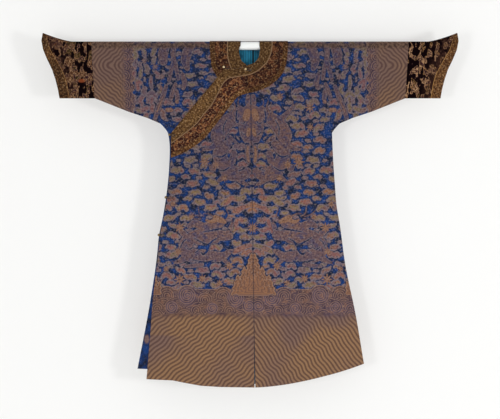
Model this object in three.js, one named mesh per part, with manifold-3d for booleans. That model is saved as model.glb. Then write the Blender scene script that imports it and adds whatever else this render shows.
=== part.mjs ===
// A semiformal court robe hung flat on a round rod, in millimetres.
// The origin is the middle of the rod, +X is the viewer's right, -Y the front and +Z up.
// Left and right in the names are the wearer's, so the left half lies on +X.
import * as THREE from 'three'
import { mergeVertices } from 'three/addons/utils/BufferGeometryUtils.js'
import Module from 'manifold-3d'

const wasm = await Module()
wasm.setup()

// Driving sizes
const rodRadius = 16
const rodLength = 1390 // its ends lie inside the cuffs
const clothWall = 1.6 // figured silk with its lining
const bandWall = 1.6 // a collar band lying on the cloth
const seamGap = 0.3 // between neighbouring pieces
const lapRadius = 16.5 // inside of the cloth where it laps over the rod
const frontLift = 3.2 // the overlap stands this far in front of the under-flap
const underarmHeight = -352
const junctionX = 332 // where the sleeve leaves the body, above the underarm
const hemCentre = -1378
const leftHemRise = 92 // from the centre seam to the left corner
const leftCorner = 461
const flapHem = -1306 // lower edge of the under-flap
const backHemRise = 6 // the left back ends this much above the front
const centreDrift = 20 // of the front seam, to the viewer's right, from the neck to the hem
const slitTop = -1130
const slitHalf = 1.4
const flapEdge = 6 // the under-flap ends this far short of the middle
const cuffSeamTop = 640
const cuffSeamBottom = 628
const cuffBottom = -212
const tipHeight = 53
const mouthLap = 8 // inside radius of the round top at the mouth
const mouthSwell = 6
const riseFrom = 0.4 // share of a cuff's length where its top starts to rise
const pipingWidth = 4
const edgingWidth = 20
const buttonRadius = 5.5
const shankLength = 2.9 // in front of the face that the loop lies on
const shankRadius = 1.4
const cordRadius = 1.1
const cordGap = 0.45 // between a loop's cord and the face under it

// Half the thickness of the hanging robe
const seamHalf = 0.2 // inside of each wall from the middle plane, at a sewn seam
const ventHalf = 4 // the same at the hem, where the side vents part
const ventTop = -850
const bodyRoom = 10 // gained between the chest and the hips
const hemRoom = 8 // gained again towards the hem
const sleeveRun = 170 // from the seam to the full thickness

// Side edges, by height
const leftSide = [
  { z: -352, x: 332 }, { z: -450, x: 336 }, { z: -560, x: 343.5 }, { z: -650, x: 351 },
  { z: -720, x: 363 }, { z: -880, x: 385 }, { z: -1095, x: 429 }, { z: -1286, x: 461 },
]
const rightSide = [
  { z: -352, x: 332 }, { z: -380, x: 327 }, { z: -485, x: 327 }, { z: -560, x: 333 },
  { z: -683, x: 351 }, { z: -773, x: 369 }, { z: -845, x: 376 }, { z: -1041, x: 405 },
  { z: -1306, x: 455 },
]
const overlapSide = [
  { z: -352, x: 319 }, { z: -485, x: 322 }, { z: -557, x: 329 }, { z: -615, x: 335 },
  { z: -683, x: 347 }, { z: -773, x: 365 }, { z: -845, x: 372 }, { z: -1041, x: 394 },
  { z: -1150, x: 401.5 }, { z: -1346, x: 417.5 },
]
// Lower edge of a sleeve, from the underarm to the cuff seam
const sleeveEdge = [
  { x: 332, z: -352 }, { x: 340, z: -339 }, { x: 361, z: -315 }, { x: 414, z: -292 },
  { x: 490, z: -267 }, { x: 578, z: -232 }, { x: 628, z: -212 },
]
// Hem of the overlap, from the centre seam out
const overlapHem = [
  { x: 0, z: -1378 }, { x: 124, z: -1376 }, { x: 196, z: -1371 }, { x: 268, z: -1358 },
  { x: 311, z: -1350 }, { x: 417.5, z: -1346 },
]
// Mouth and trim line of a cuff, by height
const cuffMouth = [
  { z: tipHeight, x: 838 }, { z: 20, x: 843 }, { z: -16, x: 836 }, { z: -52, x: 821 },
  { z: -98, x: 799 }, { z: -138, x: 786 }, { z: -175, x: 777 }, { z: -212, x: 771 },
]
const trimLine = [
  { z: tipHeight, x: 827 }, { z: 20, x: 815 }, { z: -7, x: 805 }, { z: -53, x: 777 },
  { z: -103, x: 752 }, { z: -144, x: 740 }, { z: -212, x: 731 },
]
// Edge of the neck opening in front, round from the left shoulder to the right
const neckEdge = [
  { x: 38, z: 12 }, { x: 40, z: -15 }, { x: 36, z: -42 }, { x: 20, z: -68 }, { x: -12, z: -81 },
  { x: -33, z: -62 }, { x: -42, z: -40 }, { x: -44, z: -15 }, { x: -38, z: 12 },
]
// Upper edge of the overlap, from the neck to past the underarm
const overlapTop = [
  { x: -12, z: -81 }, { x: -48, z: -93 }, { x: -101, z: -94 }, { x: -117, z: -111 },
  { x: -133, z: -131 }, { x: -350, z: -390 },
]
// Lines of the collar on the front, from the left shoulder to past the underarm
const pipingFront = [
  { x: 89, z: 0 }, { x: 84, z: -30 }, { x: 70, z: -64 }, { x: 34, z: -100 }, { x: -5, z: -118 },
  { x: -47, z: -125 }, { x: -83, z: -131 }, { x: -106, z: -149 }, { x: -155, z: -239 },
  { x: -224, z: -323 }, { x: -297, z: -379 }, { x: -345, z: -412 },
]
const outerFront = [
  { x: 153, z: 0 }, { x: 149, z: -58 }, { x: 133, z: -111 }, { x: 93, z: -155 }, { x: 44, z: -180 },
  { x: -43, z: -203 }, { x: -73, z: -236 }, { x: -126, z: -303 }, { x: -170, z: -361 },
  { x: -224, z: -411 }, { x: -282, z: -440 }, { x: -345, z: -462 },
]
// The same lines on the right shoulder, down to under the overlap
const pipingRight = [{ x: -91, z: 0 }, { x: -91, z: -40 }, { x: -79, z: -83 }, { x: -66, z: -115 }]
const outerRight = [{ x: -163, z: 0 }, { x: -159, z: -50 }, { x: -153, z: -91 }, { x: -118, z: -150 }]
const pipingBackDrop = 22 // how far each line hangs below the rod's middle behind
const outerBackDrop = 84
// Large soft folds near the hem: side -1 is the front, ridges stand out and troughs fall in
const folds = [
  { side: -1, x: -318, top: -980, width: 42, ridge: -4 },
  { side: -1, x: -235, top: -900, width: 58, ridge: 4 },
  { side: -1, x: 150, top: -860, width: 62, ridge: 4 },
  { side: -1, x: 300, top: -960, width: 52, ridge: -3.5 },
  { side: 1, x: -260, top: -880, width: 60, ridge: 4 },
  { side: 1, x: -60, top: -940, width: 56, ridge: -4 },
  { side: 1, x: 190, top: -900, width: 60, ridge: 4 },
]
// A button's foot and its loop's cord each lie on the collar, the overlap or the under-flap
const buttons = [
  { name: 'neck_button', x: -18, z: -97, foot: 'collar', cord: 26, under: 'collar' },
  { name: 'lapel_button', x: -106, z: -88, foot: 'rightCollar', cord: 24, under: 'collar' },
  { name: 'underarm_button', x: -325, z: -360, foot: 'flap', cord: 24, under: 'collar' },
  { name: 'upper_side_button', x: -340, z: -613, foot: 'flap', cord: 32, under: 'overlap' },
  { name: 'lower_side_button', x: -368, z: -765, foot: 'flap', cord: 28, under: 'overlap' },
]

// Steps of the cloth's grid
const acrossBody = [0, 0.1, 0.2, 0.31, 0.42, 0.53, 0.64, 0.75, 0.85, 0.93, 1]
const acrossSleeve = [0.06, 0.17, 0.34, 0.55, 0.77, 1]
const downChest = [1, 0.85, 0.7, 0.55, 0.4, 0.27, 0.15, 0.06]
const downSkirt = [-430, -520, -620, -720, -830, -940, -1050, -1160]
const lapSteps = 8

const clamp01 = (t) => Math.min(Math.max(t, 0), 1)
const lerp = THREE.MathUtils.lerp
const soft = (from, to, at) => THREE.MathUtils.smoothstep(clamp01((at - from) / (to - from)), 0, 1)

// Value of one column of a table where another column has a value, along straight lines
function read(table, key, value, at) {
  const rising = table[0][key] < table[1][key]
  const next = table.findIndex((row) => (rising ? row[key] >= at : row[key] <= at))
  const i = next < 0 ? table.length - 1 : Math.max(next, 1)
  const [a, b] = [table[i - 1], table[i]]
  return lerp(a[value], b[value], clamp01((at - a[key]) / (b[key] - a[key])))
}

const centreSeam = (z) => centreDrift * (z / hemCentre)
const seamParting = (z) => seamGap / 2 + slitHalf * soft(slitTop, hemCentre, z)

// Distance from a spot to the lower sleeve seam and the side edge of its half
function distanceToSeam(x, z) {
  const line = [...sleeveEdge].reverse().concat((x > 0 ? leftSide : rightSide).slice(1))
  const spot = new THREE.Vector2(Math.abs(x), z)
  const ahead = new THREE.Vector2()
  let nearest = Infinity
  for (let i = 1; i < line.length; i++) {
    const from = new THREE.Vector2(line[i - 1].x, line[i - 1].z)
    ahead.set(line[i].x, line[i].z).sub(from)
    const t = clamp01(spot.clone().sub(from).dot(ahead) / ahead.lengthSq())
    nearest = Math.min(nearest, spot.distanceTo(from.addScaledVector(ahead, t)))
  }
  return nearest
}

// Inside of the wall from the middle plane: a parabola from the seam to the full thickness, and the folds
function halfDepth(x, z, side) {
  const atSeam = seamHalf + (ventHalf - seamHalf) * soft(ventTop, hemCentre, z)
  const full = lapRadius + bodyRoom * soft(-80, -520, z) + hemRoom * soft(-700, hemCentre, z)
  const rise = 1 - (1 - clamp01(distanceToSeam(x, z) / sleeveRun)) ** 2
  let fold = 0
  for (const one of folds) {
    const near = Math.exp(-(((x - one.x) / one.width) ** 2))
    if (one.side === side) fold += one.ridge * near * soft(one.top, hemCentre, z)
  }
  return atSeam + (full - atSeam + fold) * rise
}

// The left front rises towards the centre seam and below the neck, to be level with the overlap
const levelUpTo = { x: 20, z: -70 }
const flatFrom = { x: 150, z: -15 }
function leftLift(x, z) {
  return frontLift * (1 - soft(levelUpTo.x, flatFrom.x, x)) * (1 - soft(levelUpTo.z, flatFrom.z, z))
}

// A spot of the cloth is on the front (side -1) or back (side 1) at x and z, or on the lap at an angle
function pointAt(spot, level) {
  const out = level + spot.lift
  if (spot.angle === undefined) {
    return [spot.x, spot.side * (halfDepth(spot.x, spot.z, spot.side) + out), spot.z]
  }
  const radius = lapRadius + out
  return [spot.x, -radius * Math.cos(spot.angle), radius * Math.sin(spot.angle)]
}

// Closed wall between two levels over a grid of spots, with some spots left out
function wall(grid, inner, outer, at = pointAt) {
  const number = new Map()
  const points = []
  grid.flat().forEach((spot) => spot && number.set(spot, number.size))
  for (const level of [outer, inner]) {
    for (const spot of number.keys()) points.push(...at(spot, level))
  }
  const count = number.size
  const faces = []
  for (let r = 1; r < grid.length; r++) {
    for (let c = 1; c < grid[r].length; c++) {
      const corners = [grid[r - 1][c - 1], grid[r - 1][c], grid[r][c], grid[r][c - 1]]
      if (corners.some((spot) => !spot)) continue
      const [a, b, d, e] = corners.map((spot) => number.get(spot))
      const inward = Math.abs(corners[1].x) < Math.abs(corners[0].x) // the diagonals mirror at the centre
      faces.push(...(inward ? [[a, b, e], [b, d, e]] : [[a, b, d], [a, d, e]]))
    }
  }
  const edges = new Set(faces.flatMap(([a, b, c]) => [`${a}>${b}`, `${b}>${c}`, `${c}>${a}`]))
  const triangles = faces.flatMap(([a, b, c]) => [a, b, c, c + count, b + count, a + count])
  for (const [a, b, c] of faces) {
    for (const [from, to] of [[a, b], [b, c], [c, a]]) {
      if (edges.has(`${to}>${from}`)) continue
      triangles.push(to, from, from + count, to, from + count, to + count)
    }
  }
  const geometry = new THREE.BufferGeometry()
  geometry.setAttribute('position', new THREE.Float32BufferAttribute(points, 3))
  geometry.setIndex(triangles)
  return volume(geometry) < 0 ? turnedOut(geometry) : geometry
}

function volume(geometry) {
  const [a, b, c] = [new THREE.Vector3(), new THREE.Vector3(), new THREE.Vector3()]
  const { position } = geometry.attributes
  const { index } = geometry
  let sum = 0
  for (let i = 0; i < index.count; i += 3) {
    a.fromBufferAttribute(position, index.getX(i))
    b.fromBufferAttribute(position, index.getX(i + 1))
    c.fromBufferAttribute(position, index.getX(i + 2))
    sum += a.dot(b.cross(c)) / 6
  }
  return sum
}

function turnedOut(geometry) {
  const index = Array.from(geometry.index.array)
  for (let i = 0; i < index.length; i += 3) index.splice(i, 2, index[i + 1], index[i])
  geometry.setIndex(index)
  return geometry
}

function toSolid(geometry) {
  const bare = geometry.clone()
  bare.deleteAttribute('normal')
  bare.deleteAttribute('uv')
  const merged = mergeVertices(bare, 1e-4)
  return new wasm.Manifold(new wasm.Mesh({
    numProp: 3,
    vertProperties: new Float32Array(merged.attributes.position.array),
    triVerts: new Uint32Array(merged.index.array),
  }))
}

function fromSolid(solid) {
  const mesh = solid.getMesh()
  const geometry = new THREE.BufferGeometry()
  geometry.setAttribute('position', new THREE.BufferAttribute(mesh.vertProperties, 3))
  geometry.setIndex(Array.from(mesh.triVerts))
  return geometry
}

// Upright prism over an outline seen from the front, between two depths
function prism(outline, front, back) {
  const shape = new THREE.Shape(outline.map(({ x, z }) => new THREE.Vector2(x, z)))
  const geometry = new THREE.ExtrudeGeometry(shape, { depth: back - front, bevelEnabled: false })
  geometry.rotateX(Math.PI / 2)
  geometry.translate(0, back, 0)
  return toSolid(geometry)
}

// A line moved sideways, to its left as it runs
function shifted(line, distance) {
  return line.map((spot, i) => {
    const before = line[Math.max(i - 1, 0)]
    const after = line[Math.min(i + 1, line.length - 1)]
    const run = new THREE.Vector2(after.x - before.x, after.z - before.z).normalize()
    return { x: spot.x - run.y * distance, z: spot.z + run.x * distance }
  })
}

// A smooth line through the spots of a table
function rounded(line, steps) {
  const curve = new THREE.SplineCurve(line.map(({ x, z }) => new THREE.Vector2(x, z)))
  return curve.getPoints(steps).map(({ x, y }) => ({ x, z: y }))
}

// Grid of the cloth: columns run from the centre out, rows from the front hem over the rod to the back hem
const chestRows = (side) => downChest.map((down) => ({ side, down }))
const skirtRows = (side) => [1, 0.5].map((hem) => ({ side, hem })) // shares of the way to the hem
  .concat(downSkirt.map((z) => ({ side, z })).reverse())
const lapRows = Array.from({ length: lapSteps + 1 }, (_, i) => ({ angle: (Math.PI * i) / lapSteps }))
const frontRows = [...skirtRows(-1), ...chestRows(-1)]
const backRows = [...chestRows(1).reverse(), ...skirtRows(1).reverse()]

// Spot of the body in a row, a share of the way from the centre line to the side edge
function bodySpot(cut, row, share) {
  const { sign, centre, side, hem, lift } = cut
  const facing = row.side ?? 0
  const spotAt = (z, from, to) => {
    const x = sign * lerp(from, to, share)
    return { x, z, side: facing, lift: facing < 0 ? lift(x, z) : 0 }
  }
  const skirtSpot = (z) => spotAt(z, centre(z, facing), side(z, facing))
  if (row.angle !== undefined) {
    return { ...spotAt(0, centre(0, 0), junctionX), angle: row.angle, lift: 0 }
  }
  if (row.down !== undefined) {
    const z = row.down * underarmHeight
    return spotAt(z, centre(z, facing), Math.min(side(z, facing), junctionX))
  }
  if (row.hem === undefined) return skirtSpot(row.z)
  const above = skirtSpot(downSkirt.at(-1))
  const reach = lerp(centre(hemCentre, facing), side(hemCentre, facing), share)
  const z = lerp(above.z, hem(reach, facing), row.hem)
  const x = lerp(above.x, sign * reach, row.hem)
  return { x, z, side: facing, lift: facing < 0 ? lift(x, z) : 0 }
}

// Spot of a sleeve, a share of the way from the junction to the cuff seam
function sleeveSpot(cut, row, share) {
  if (row.angle === undefined && row.down === undefined) return null
  const top = lerp(junctionX, cuffSeamTop - seamGap / 2, share)
  const bottom = lerp(junctionX, cuffSeamBottom - seamGap / 2, share)
  const down = row.down ?? 0
  const x = cut.sign * lerp(top, bottom, down)
  const z = down * read(sleeveEdge, 'x', 'z', bottom)
  return { x, z, side: row.side ?? 0, angle: row.angle, lift: 0 }
}

const bodyGrid = (cut, rows) => rows.map((row) => acrossBody.map((share) => bodySpot(cut, row, share)))
const halfGrid = (cut) => {
  const rows = [...frontRows, ...lapRows, ...backRows]
  const sleeves = rows.map((row) => acrossSleeve.map((share) => sleeveSpot(cut, row, share)))
  return bodyGrid(cut, rows).map((spots, i) => [...spots, ...sleeves[i]])
}

const hemBend = 1.6 // power of the hems' curves
const leftHem = (x) => (
  hemCentre + leftHemRise * clamp01((x - centreDrift) / (leftCorner - centreDrift)) ** hemBend
)
const rightBackHem = { middle: -1370, corner: -1300, reach: 455 }
const leftCut = {
  sign: 1,
  centre: (z, side) => (side < 0 ? centreSeam(z) + seamParting(z) : seamGap / 2),
  side: (z) => read(leftSide, 'z', 'x', z),
  hem: (x, side) => leftHem(x) + (side > 0 ? backHemRise : 0),
  lift: leftLift,
}
const rightCut = {
  sign: -1,
  centre: (z, side) => (side < 0 && z < -flapEdge ? flapEdge : seamGap / 2),
  side: (z) => read(rightSide, 'z', 'x', z),
  hem: (x, side) => (side > 0
    ? lerp(rightBackHem.middle, rightBackHem.corner, (x / rightBackHem.reach) ** hemBend)
    : flapHem),
  lift: () => 0,
}
// The overlap's columns are the under-flap's up to its own edge, so that the two lie parallel
const overlapCut = {
  sign: -1,
  centre: (z) => seamParting(z) - centreSeam(z),
  side: (z) => read(overlapSide, 'z', 'x', z),
  hem: (x) => read(overlapHem, 'x', 'z', x),
  lift: () => frontLift,
}
const acrossOverlap = acrossBody.filter((share) => share < 0.9 || share === 1)
const overlapGrid = (rows, centreCut = overlapCut) => rows.map((row) => acrossOverlap.map((share) => {
  if (share === 0) return bodySpot(centreCut, row, share)
  if (share === 1) return bodySpot(overlapCut, row, share)
  const spot = { ...bodySpot(rightCut, row, share), lift: frontLift }
  return row.hem === 1 ? { ...spot, z: overlapCut.hem(-spot.x) } : spot
}))

// The neck opening is cut through the front and over the top of the rod, up to the back neck edge
const aboveRobe = 60
const farFront = -90
const neckBack = 4.5
const joinDepth = 2 // the collar's front runs share this much of the rod's top with its back run
const neckHole = prism([
  { x: 38, z: aboveRobe }, ...rounded(neckEdge, 22), { x: -38, z: aboveRobe },
], farFront, neckBack)

// What the left front and the overlap cover, seen from the front, moved out by a gap
const [farSide, farBelow, insideNeck] = [700, -1500, -70]
function frontCover(gap) {
  return prism([
    { x: -gap, z: aboveRobe }, { x: -gap, z: insideNeck }, ...shifted(overlapTop, -gap),
    { x: -farSide, z: overlapTop.at(-1).z }, { x: -farSide, z: farBelow },
    { x: farSide, z: farBelow }, { x: farSide, z: aboveRobe },
  ], farFront, joinDepth)
}
const covered = frontCover(0)
const coveredWithGap = frontCover(0.5)

// A line of the collar carried straight up over the rod to above the robe
const straightFrom = 12
const carriedUp = (line) => [{ x: line[0].x, z: aboveRobe }, { x: line[0].x, z: straightFrom }, ...line]

// A back line hangs as half an ellipse between the ends of its front lines
const arcSteps = 16
function backLine(left, right, drop) {
  const middle = (left + right) / 2
  const half = (left - right) / 2
  const arc = Array.from({ length: arcSteps + 1 }, (_, i) => {
    const turn = (Math.PI * i) / arcSteps
    return { x: middle + half * Math.cos(turn), z: -drop * Math.sin(turn) }
  })
  return [...carriedUp(arc), { x: right, z: straightFrom }, { x: right, z: aboveRobe }]
}

// The three runs of the collar: the neck lies to the right of its lines (-1) or to the left (1),
// and a front run's inmost outline is closed through one more spot on the neck's side
const [frontSteps, rightSteps] = [22, 6]
const runs = {
  front: {
    piping: carriedUp(rounded(pipingFront, frontSteps)),
    outer: carriedUp(rounded(outerFront, frontSteps)),
    close: [{ x: pipingFront.at(-1).x, z: aboveRobe }],
    toNeck: -1,
  },
  right: {
    piping: carriedUp(rounded(pipingRight, rightSteps)),
    outer: carriedUp(rounded(outerRight, rightSteps)),
    close: [{ x: 0, z: pipingRight.at(-1).z }],
    toNeck: 1,
  },
  back: {
    piping: backLine(pipingFront[0].x, pipingRight[0].x, pipingBackDrop),
    outer: backLine(outerFront[0].x, outerRight[0].x, outerBackDrop),
    close: [],
    toNeck: -1,
  },
}

// Outline of a band in a run, between two of its lines moved away from the neck
function bandOutline(run, from, to) {
  const line = (mark) => shifted(run[mark.line], -run.toNeck * mark.out)
  if (from) return [...line(from), ...line(to).reverse()]
  return [...line(to), ...run.close]
}

// The cloth's own grid, lifted clear of it, is cut to the band in each run
const collarLevel = clothWall + seamGap
const leftColumns = (rows) => bodyGrid(leftCut, rows).map((spots) => spots.slice(1, 7)) // to past the collar
const seamless = { ...overlapCut, centre: (z) => -centreSeam(z) }
const collarBottom = -520
const upperFront = frontRows.filter((row) => row.down !== undefined || row.z >= collarBottom)
const frontBlanket = () => {
  const rows = [...upperFront, ...lapRows]
  const left = leftColumns(rows)
  const right = overlapGrid(rows, seamless)
  return rows.map((row, i) => {
    const flat = row.angle === undefined ? right[i] : right[i].map((spot) => ({ ...spot, lift: 0 }))
    return [...flat.reverse(), ...left[i]]
  })
}
const backBlanket = () => {
  const rows = [...chestRows(-1), ...lapRows, ...chestRows(1).reverse()]
  const left = leftColumns(rows)
  return bodyGrid(rightCut, rows).map((spots, i) => [...spots.slice(0, 8).reverse(), ...left[i]])
}
const blanketWalls = [frontBlanket, backBlanket].map((grid) => (
  toSolid(wall(grid(), collarLevel, collarLevel + bandWall))
))

function collarBand(from, to) {
  const [overFront, overBack] = blanketWalls
  const cut = (run, front, back) => prism(bandOutline(runs[run], from, to), front, back)
  const front = overFront.intersect(cut('front', farFront, joinDepth)).intersect(covered)
  const right = overBack.intersect(cut('right', farFront, joinDepth)).subtract(coveredWithGap)
  const back = overBack.intersect(cut('back', 0, -farFront))
  return fromSolid(front.add(right).add(back).subtract(neckHole))
}

// A cuff is a flat tube: its top rises to a tip past the rod's end, and its mouth slants
const tipMiddle = tipHeight - mouthLap - clothWall // of the round top at the mouth
const cuffRise = (share) => clamp01((share - riseFrom) / (1 - riseFrom)) ** 1.35

function cuffPoint(spot, level) {
  const { sign, share, row } = spot
  const rise = cuffRise(share)
  const middle = rise * tipMiddle
  const radius = lerp(lapRadius, mouthLap, rise)
  const down = row.down ?? 0
  const mouthHeight = lerp(tipMiddle, cuffBottom, down) + mouthLap * Math.sin(row.angle ?? 0)
  const seamX = lerp(cuffSeamTop, cuffSeamBottom, down) + seamGap / 2
  const x = sign * lerp(seamX, read(cuffMouth, 'z', 'x', mouthHeight), share)
  if (row.angle !== undefined) {
    const out = radius + level
    return [x, -out * Math.cos(row.angle), middle + out * Math.sin(row.angle)]
  }
  const atSeam = halfDepth(sign * seamX, down * cuffBottom, row.side)
  const atMouth = seamHalf + (mouthLap - seamHalf) * (1 - down ** 3) + mouthSwell * Math.sin(Math.PI * down)
  return [x, row.side * (lerp(atSeam, atMouth, share) + level), lerp(middle, cuffBottom, down)]
}

// Share of the way from the seam to the mouth where the trim line crosses a row
function trimShare(row) {
  const down = row.down ?? 0
  const height = lerp(tipMiddle, cuffBottom, down)
  const seamX = lerp(cuffSeamTop, cuffSeamBottom, down)
  const reach = read(cuffMouth, 'z', 'x', height) - seamX
  return (read(trimLine, 'z', 'x', height) - seamX) / reach
}

function cuffWall(sign, from, to, steps) {
  const rows = [...chestRows(-1), ...lapRows, ...chestRows(1).reverse()]
  const half = seamGap / 2 / (cuffMouth[0].x - cuffSeamTop) // of the gap at the trim, as a share
  const grid = rows.map((row) => Array.from({ length: steps + 1 }, (_, i) => {
    const edge = { seam: 0, trim: trimShare(row), mouth: 1 }
    const first = edge[from] + (from === 'trim' ? half : 0)
    const last = edge[to] - (to === 'trim' ? half : 0)
    return { sign, row, share: lerp(first, last, i / steps) }
  }))
  return wall(grid, 0, clothWall, cuffPoint)
}

// Depth of the front face of the collar, overlap or under-flap at a spot
const faceLevels = {
  collar: frontLift + collarLevel + bandWall,
  rightCollar: collarLevel + bandWall,
  overlap: frontLift + clothWall,
  flap: clothWall,
}
const faceAt = (x, z, on) => -(halfDepth(x, z, -1) + faceLevels[on])

// A ball button on a short shank that points to the cloth
function buttonWall(shank) {
  const turn = Math.asin(shankRadius / buttonRadius)
  const ball = Array.from({ length: 7 }, (_, i) => {
    const angle = turn + ((Math.PI - turn) * i) / 6
    return new THREE.Vector2(i === 6 ? 0 : buttonRadius * Math.sin(angle), buttonRadius * Math.cos(angle))
  })
  const foot = buttonRadius * Math.cos(turn) + shank
  const profile = [new THREE.Vector2(0, foot), new THREE.Vector2(shankRadius, foot), ...ball]
  return new THREE.LatheGeometry(profile.reverse(), 10)
}

// A cord loop lies on the overlap and goes round the button's shank
function loopWall({ x, z, cord, under }) {
  const half = shankRadius + cordRadius + 2 * seamGap
  const sag = 3
  const turnSteps = 4
  const legs = (side) => [cord, cord / 2].map((out) => (
    { x: x + out, z: z + side * half - (sag * out) / cord }
  ))
  const bend = Array.from({ length: turnSteps + 1 }, (_, i) => {
    const angle = Math.PI / 2 + (Math.PI * i) / turnSteps
    return { x: x + half * Math.cos(angle), z: z + half * Math.sin(angle) }
  })
  const route = [...legs(1), ...bend, ...legs(-1).reverse()].map((spot) => (
    new THREE.Vector3(spot.x, faceAt(spot.x, spot.z, under) - cordGap - cordRadius, spot.z)
  ))
  const section = new THREE.Shape(Array.from({ length: 5 }, (_, i) => {
    const angle = (2 * Math.PI * i) / 5
    return new THREE.Vector2(cordRadius * Math.cos(angle), cordRadius * Math.sin(angle))
  }))
  const path = new THREE.CatmullRomCurve3(route)
  return new THREE.ExtrudeGeometry(section, { steps: 16, extrudePath: path, bevelEnabled: false })
}

const finishes = {
  silk: { color: 0x46475c, roughness: 0.55, metalness: 0 },
  flap: { color: 0x1f3a68, roughness: 0.5, metalness: 0 },
  brocade: { color: 0x6e4c2c, roughness: 0.6, metalness: 0.1 },
  piping: { color: 0xa08258, roughness: 0.6, metalness: 0 },
  band: { color: 0x40291f, roughness: 0.6, metalness: 0 },
  edging: { color: 0x70502f, roughness: 0.55, metalness: 0.1 },
  gilt: { color: 0xc7a76a, roughness: 0.35, metalness: 0.9 },
  cord: { color: 0x2a2d3a, roughness: 0.7, metalness: 0 },
  paint: { color: 0xe8e9e6, roughness: 0.5, metalness: 0 },
}
const materials = Object.fromEntries(
  Object.entries(finishes).map(([name, finish]) => [name, new THREE.MeshStandardMaterial(finish)]),
)

const robe = new THREE.Group()
robe.name = 'court_robe_on_rod'
function add(name, geometry, material) {
  const mesh = new THREE.Mesh(geometry, materials[material])
  mesh.name = name
  robe.add(mesh)
  return mesh
}

const rod = add('rod', new THREE.CylinderGeometry(rodRadius, rodRadius, rodLength, 32), 'paint')
rod.rotation.z = Math.PI / 2

for (const [name, cut] of [['left_half', leftCut], ['right_half', rightCut]]) {
  const half = toSolid(wall(halfGrid(cut), 0, clothWall))
  add(name, fromSolid(half.subtract(neckHole)), 'silk')
}
const overlap = toSolid(wall(overlapGrid(frontRows), 0, clothWall))
add('front_overlap', fromSolid(overlap.intersect(covered).subtract(neckHole)), 'silk')

const halfPiping = pipingWidth / 2
const marks = {
  brocadeOut: { line: 'piping', out: -halfPiping - seamGap },
  pipingIn: { line: 'piping', out: -halfPiping },
  pipingOut: { line: 'piping', out: halfPiping },
  bandIn: { line: 'piping', out: halfPiping + seamGap },
  bandOut: { line: 'outer', out: -edgingWidth - seamGap },
  edgingIn: { line: 'outer', out: -edgingWidth },
  edgingOut: { line: 'outer', out: 0 },
}
add('collar_brocade', collarBand(null, marks.brocadeOut), 'brocade')
add('collar_piping', collarBand(marks.pipingIn, marks.pipingOut), 'piping')
add('collar_band', collarBand(marks.bandIn, marks.bandOut), 'band')
add('collar_edging', collarBand(marks.edgingIn, marks.edgingOut), 'edging')

for (const [side, sign] of [['left', 1], ['right', -1]]) {
  add(`${side}_cuff`, cuffWall(sign, 'seam', 'trim', 5), 'band')
  add(`${side}_cuff_trim`, cuffWall(sign, 'trim', 'mouth', 2), 'edging')
}

for (const button of buttons) {
  const { name, x, z, foot, under } = button
  const seat = Math.min(faceAt(x - shankRadius, z, foot), faceAt(x + shankRadius, z, foot)) - seamGap
  const inFront = faceAt(x, z, under) - seamGap - shankLength // of the loop's cord
  const ball = add(name, buttonWall(seat - inFront), 'gilt')
  ball.position.set(x, inFront - buttonRadius, z)
  add(name.replace('button', 'loop'), loopWall(button), 'cord')
}

export default robe
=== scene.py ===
import bpy
import numpy as np
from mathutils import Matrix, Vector


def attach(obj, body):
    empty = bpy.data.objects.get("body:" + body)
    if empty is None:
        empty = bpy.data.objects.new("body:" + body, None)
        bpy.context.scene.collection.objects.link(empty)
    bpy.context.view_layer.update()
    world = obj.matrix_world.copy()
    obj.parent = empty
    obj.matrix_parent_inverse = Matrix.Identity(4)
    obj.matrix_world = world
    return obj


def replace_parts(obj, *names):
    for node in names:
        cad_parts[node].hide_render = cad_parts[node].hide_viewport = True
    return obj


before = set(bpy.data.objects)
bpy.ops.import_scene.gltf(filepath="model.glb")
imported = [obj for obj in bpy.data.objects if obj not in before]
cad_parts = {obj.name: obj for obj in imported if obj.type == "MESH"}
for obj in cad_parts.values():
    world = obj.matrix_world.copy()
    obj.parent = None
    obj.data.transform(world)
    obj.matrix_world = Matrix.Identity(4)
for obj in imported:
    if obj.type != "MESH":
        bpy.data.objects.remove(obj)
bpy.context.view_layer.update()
print("frame loaded")

mm = 0.001
sharpAngle = 40  # faces that meet at more degrees than this keep a hard edge

# The robe's form: walls, rod and lines, as the maker cut them
robe = {
    "lapRadius": 16.5, "wall": 1.6, "seamGap": 0.3, "frontLift": 3.2,
    "underarm": -352, "junction": 332, "hemCentre": -1378, "centreDrift": 20,
    "slitTop": -1130, "slitHalf": 1.4, "flapEdge": 6, "flapHem": -1306,
    "seamHalf": 0.2, "ventHalf": 4, "ventTop": -850, "bodyRoom": 10, "hemRoom": 8, "sleeveRun": 170,
    "cuffSeamTop": 640, "cuffSeamBottom": 628,
    "hemRise": 92, "hemPower": 1.6, "backHemUp": 6, "rightBackHem": (-1370, -1300),
}
lapRun = np.pi * robe["lapRadius"]
# Side edges as height and distance from the middle, sleeve and hem lines as distance and height
leftSide = [(-352, 332), (-450, 336), (-560, 343.5), (-650, 351), (-720, 363), (-880, 385),
            (-1095, 429), (-1286, 461)]
rightSide = [(-352, 332), (-380, 327), (-485, 327), (-560, 333), (-683, 351), (-773, 369),
             (-845, 376), (-1041, 405), (-1306, 455)]
overlapSide = [(-352, 319), (-485, 322), (-557, 329), (-615, 335), (-683, 347), (-773, 365),
               (-845, 372), (-1041, 394), (-1150, 401.5), (-1346, 417.5)]
sleeveEdge = [(332, -352), (340, -339), (361, -315), (414, -292), (490, -267), (578, -232), (628, -212)]
overlapHem = [(0, -1378), (124, -1376), (196, -1371), (268, -1358), (311, -1350), (417.5, -1346)]
overlapTop = [(-350, -390), (-133, -131), (-117, -111), (-101, -94), (-48, -93), (-12, -81), (2, -76.2)]
neckLeft = [(-77.4, 0), (-74, 8), (-68, 20), (-57, 29), (-42, 36), (-15, 40), (0, 39)]
neckRight = [(-84, 0), (-81, 12), (-73, 23), (-62, 33), (-40, 42), (-15, 44), (0, 40)]


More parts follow.
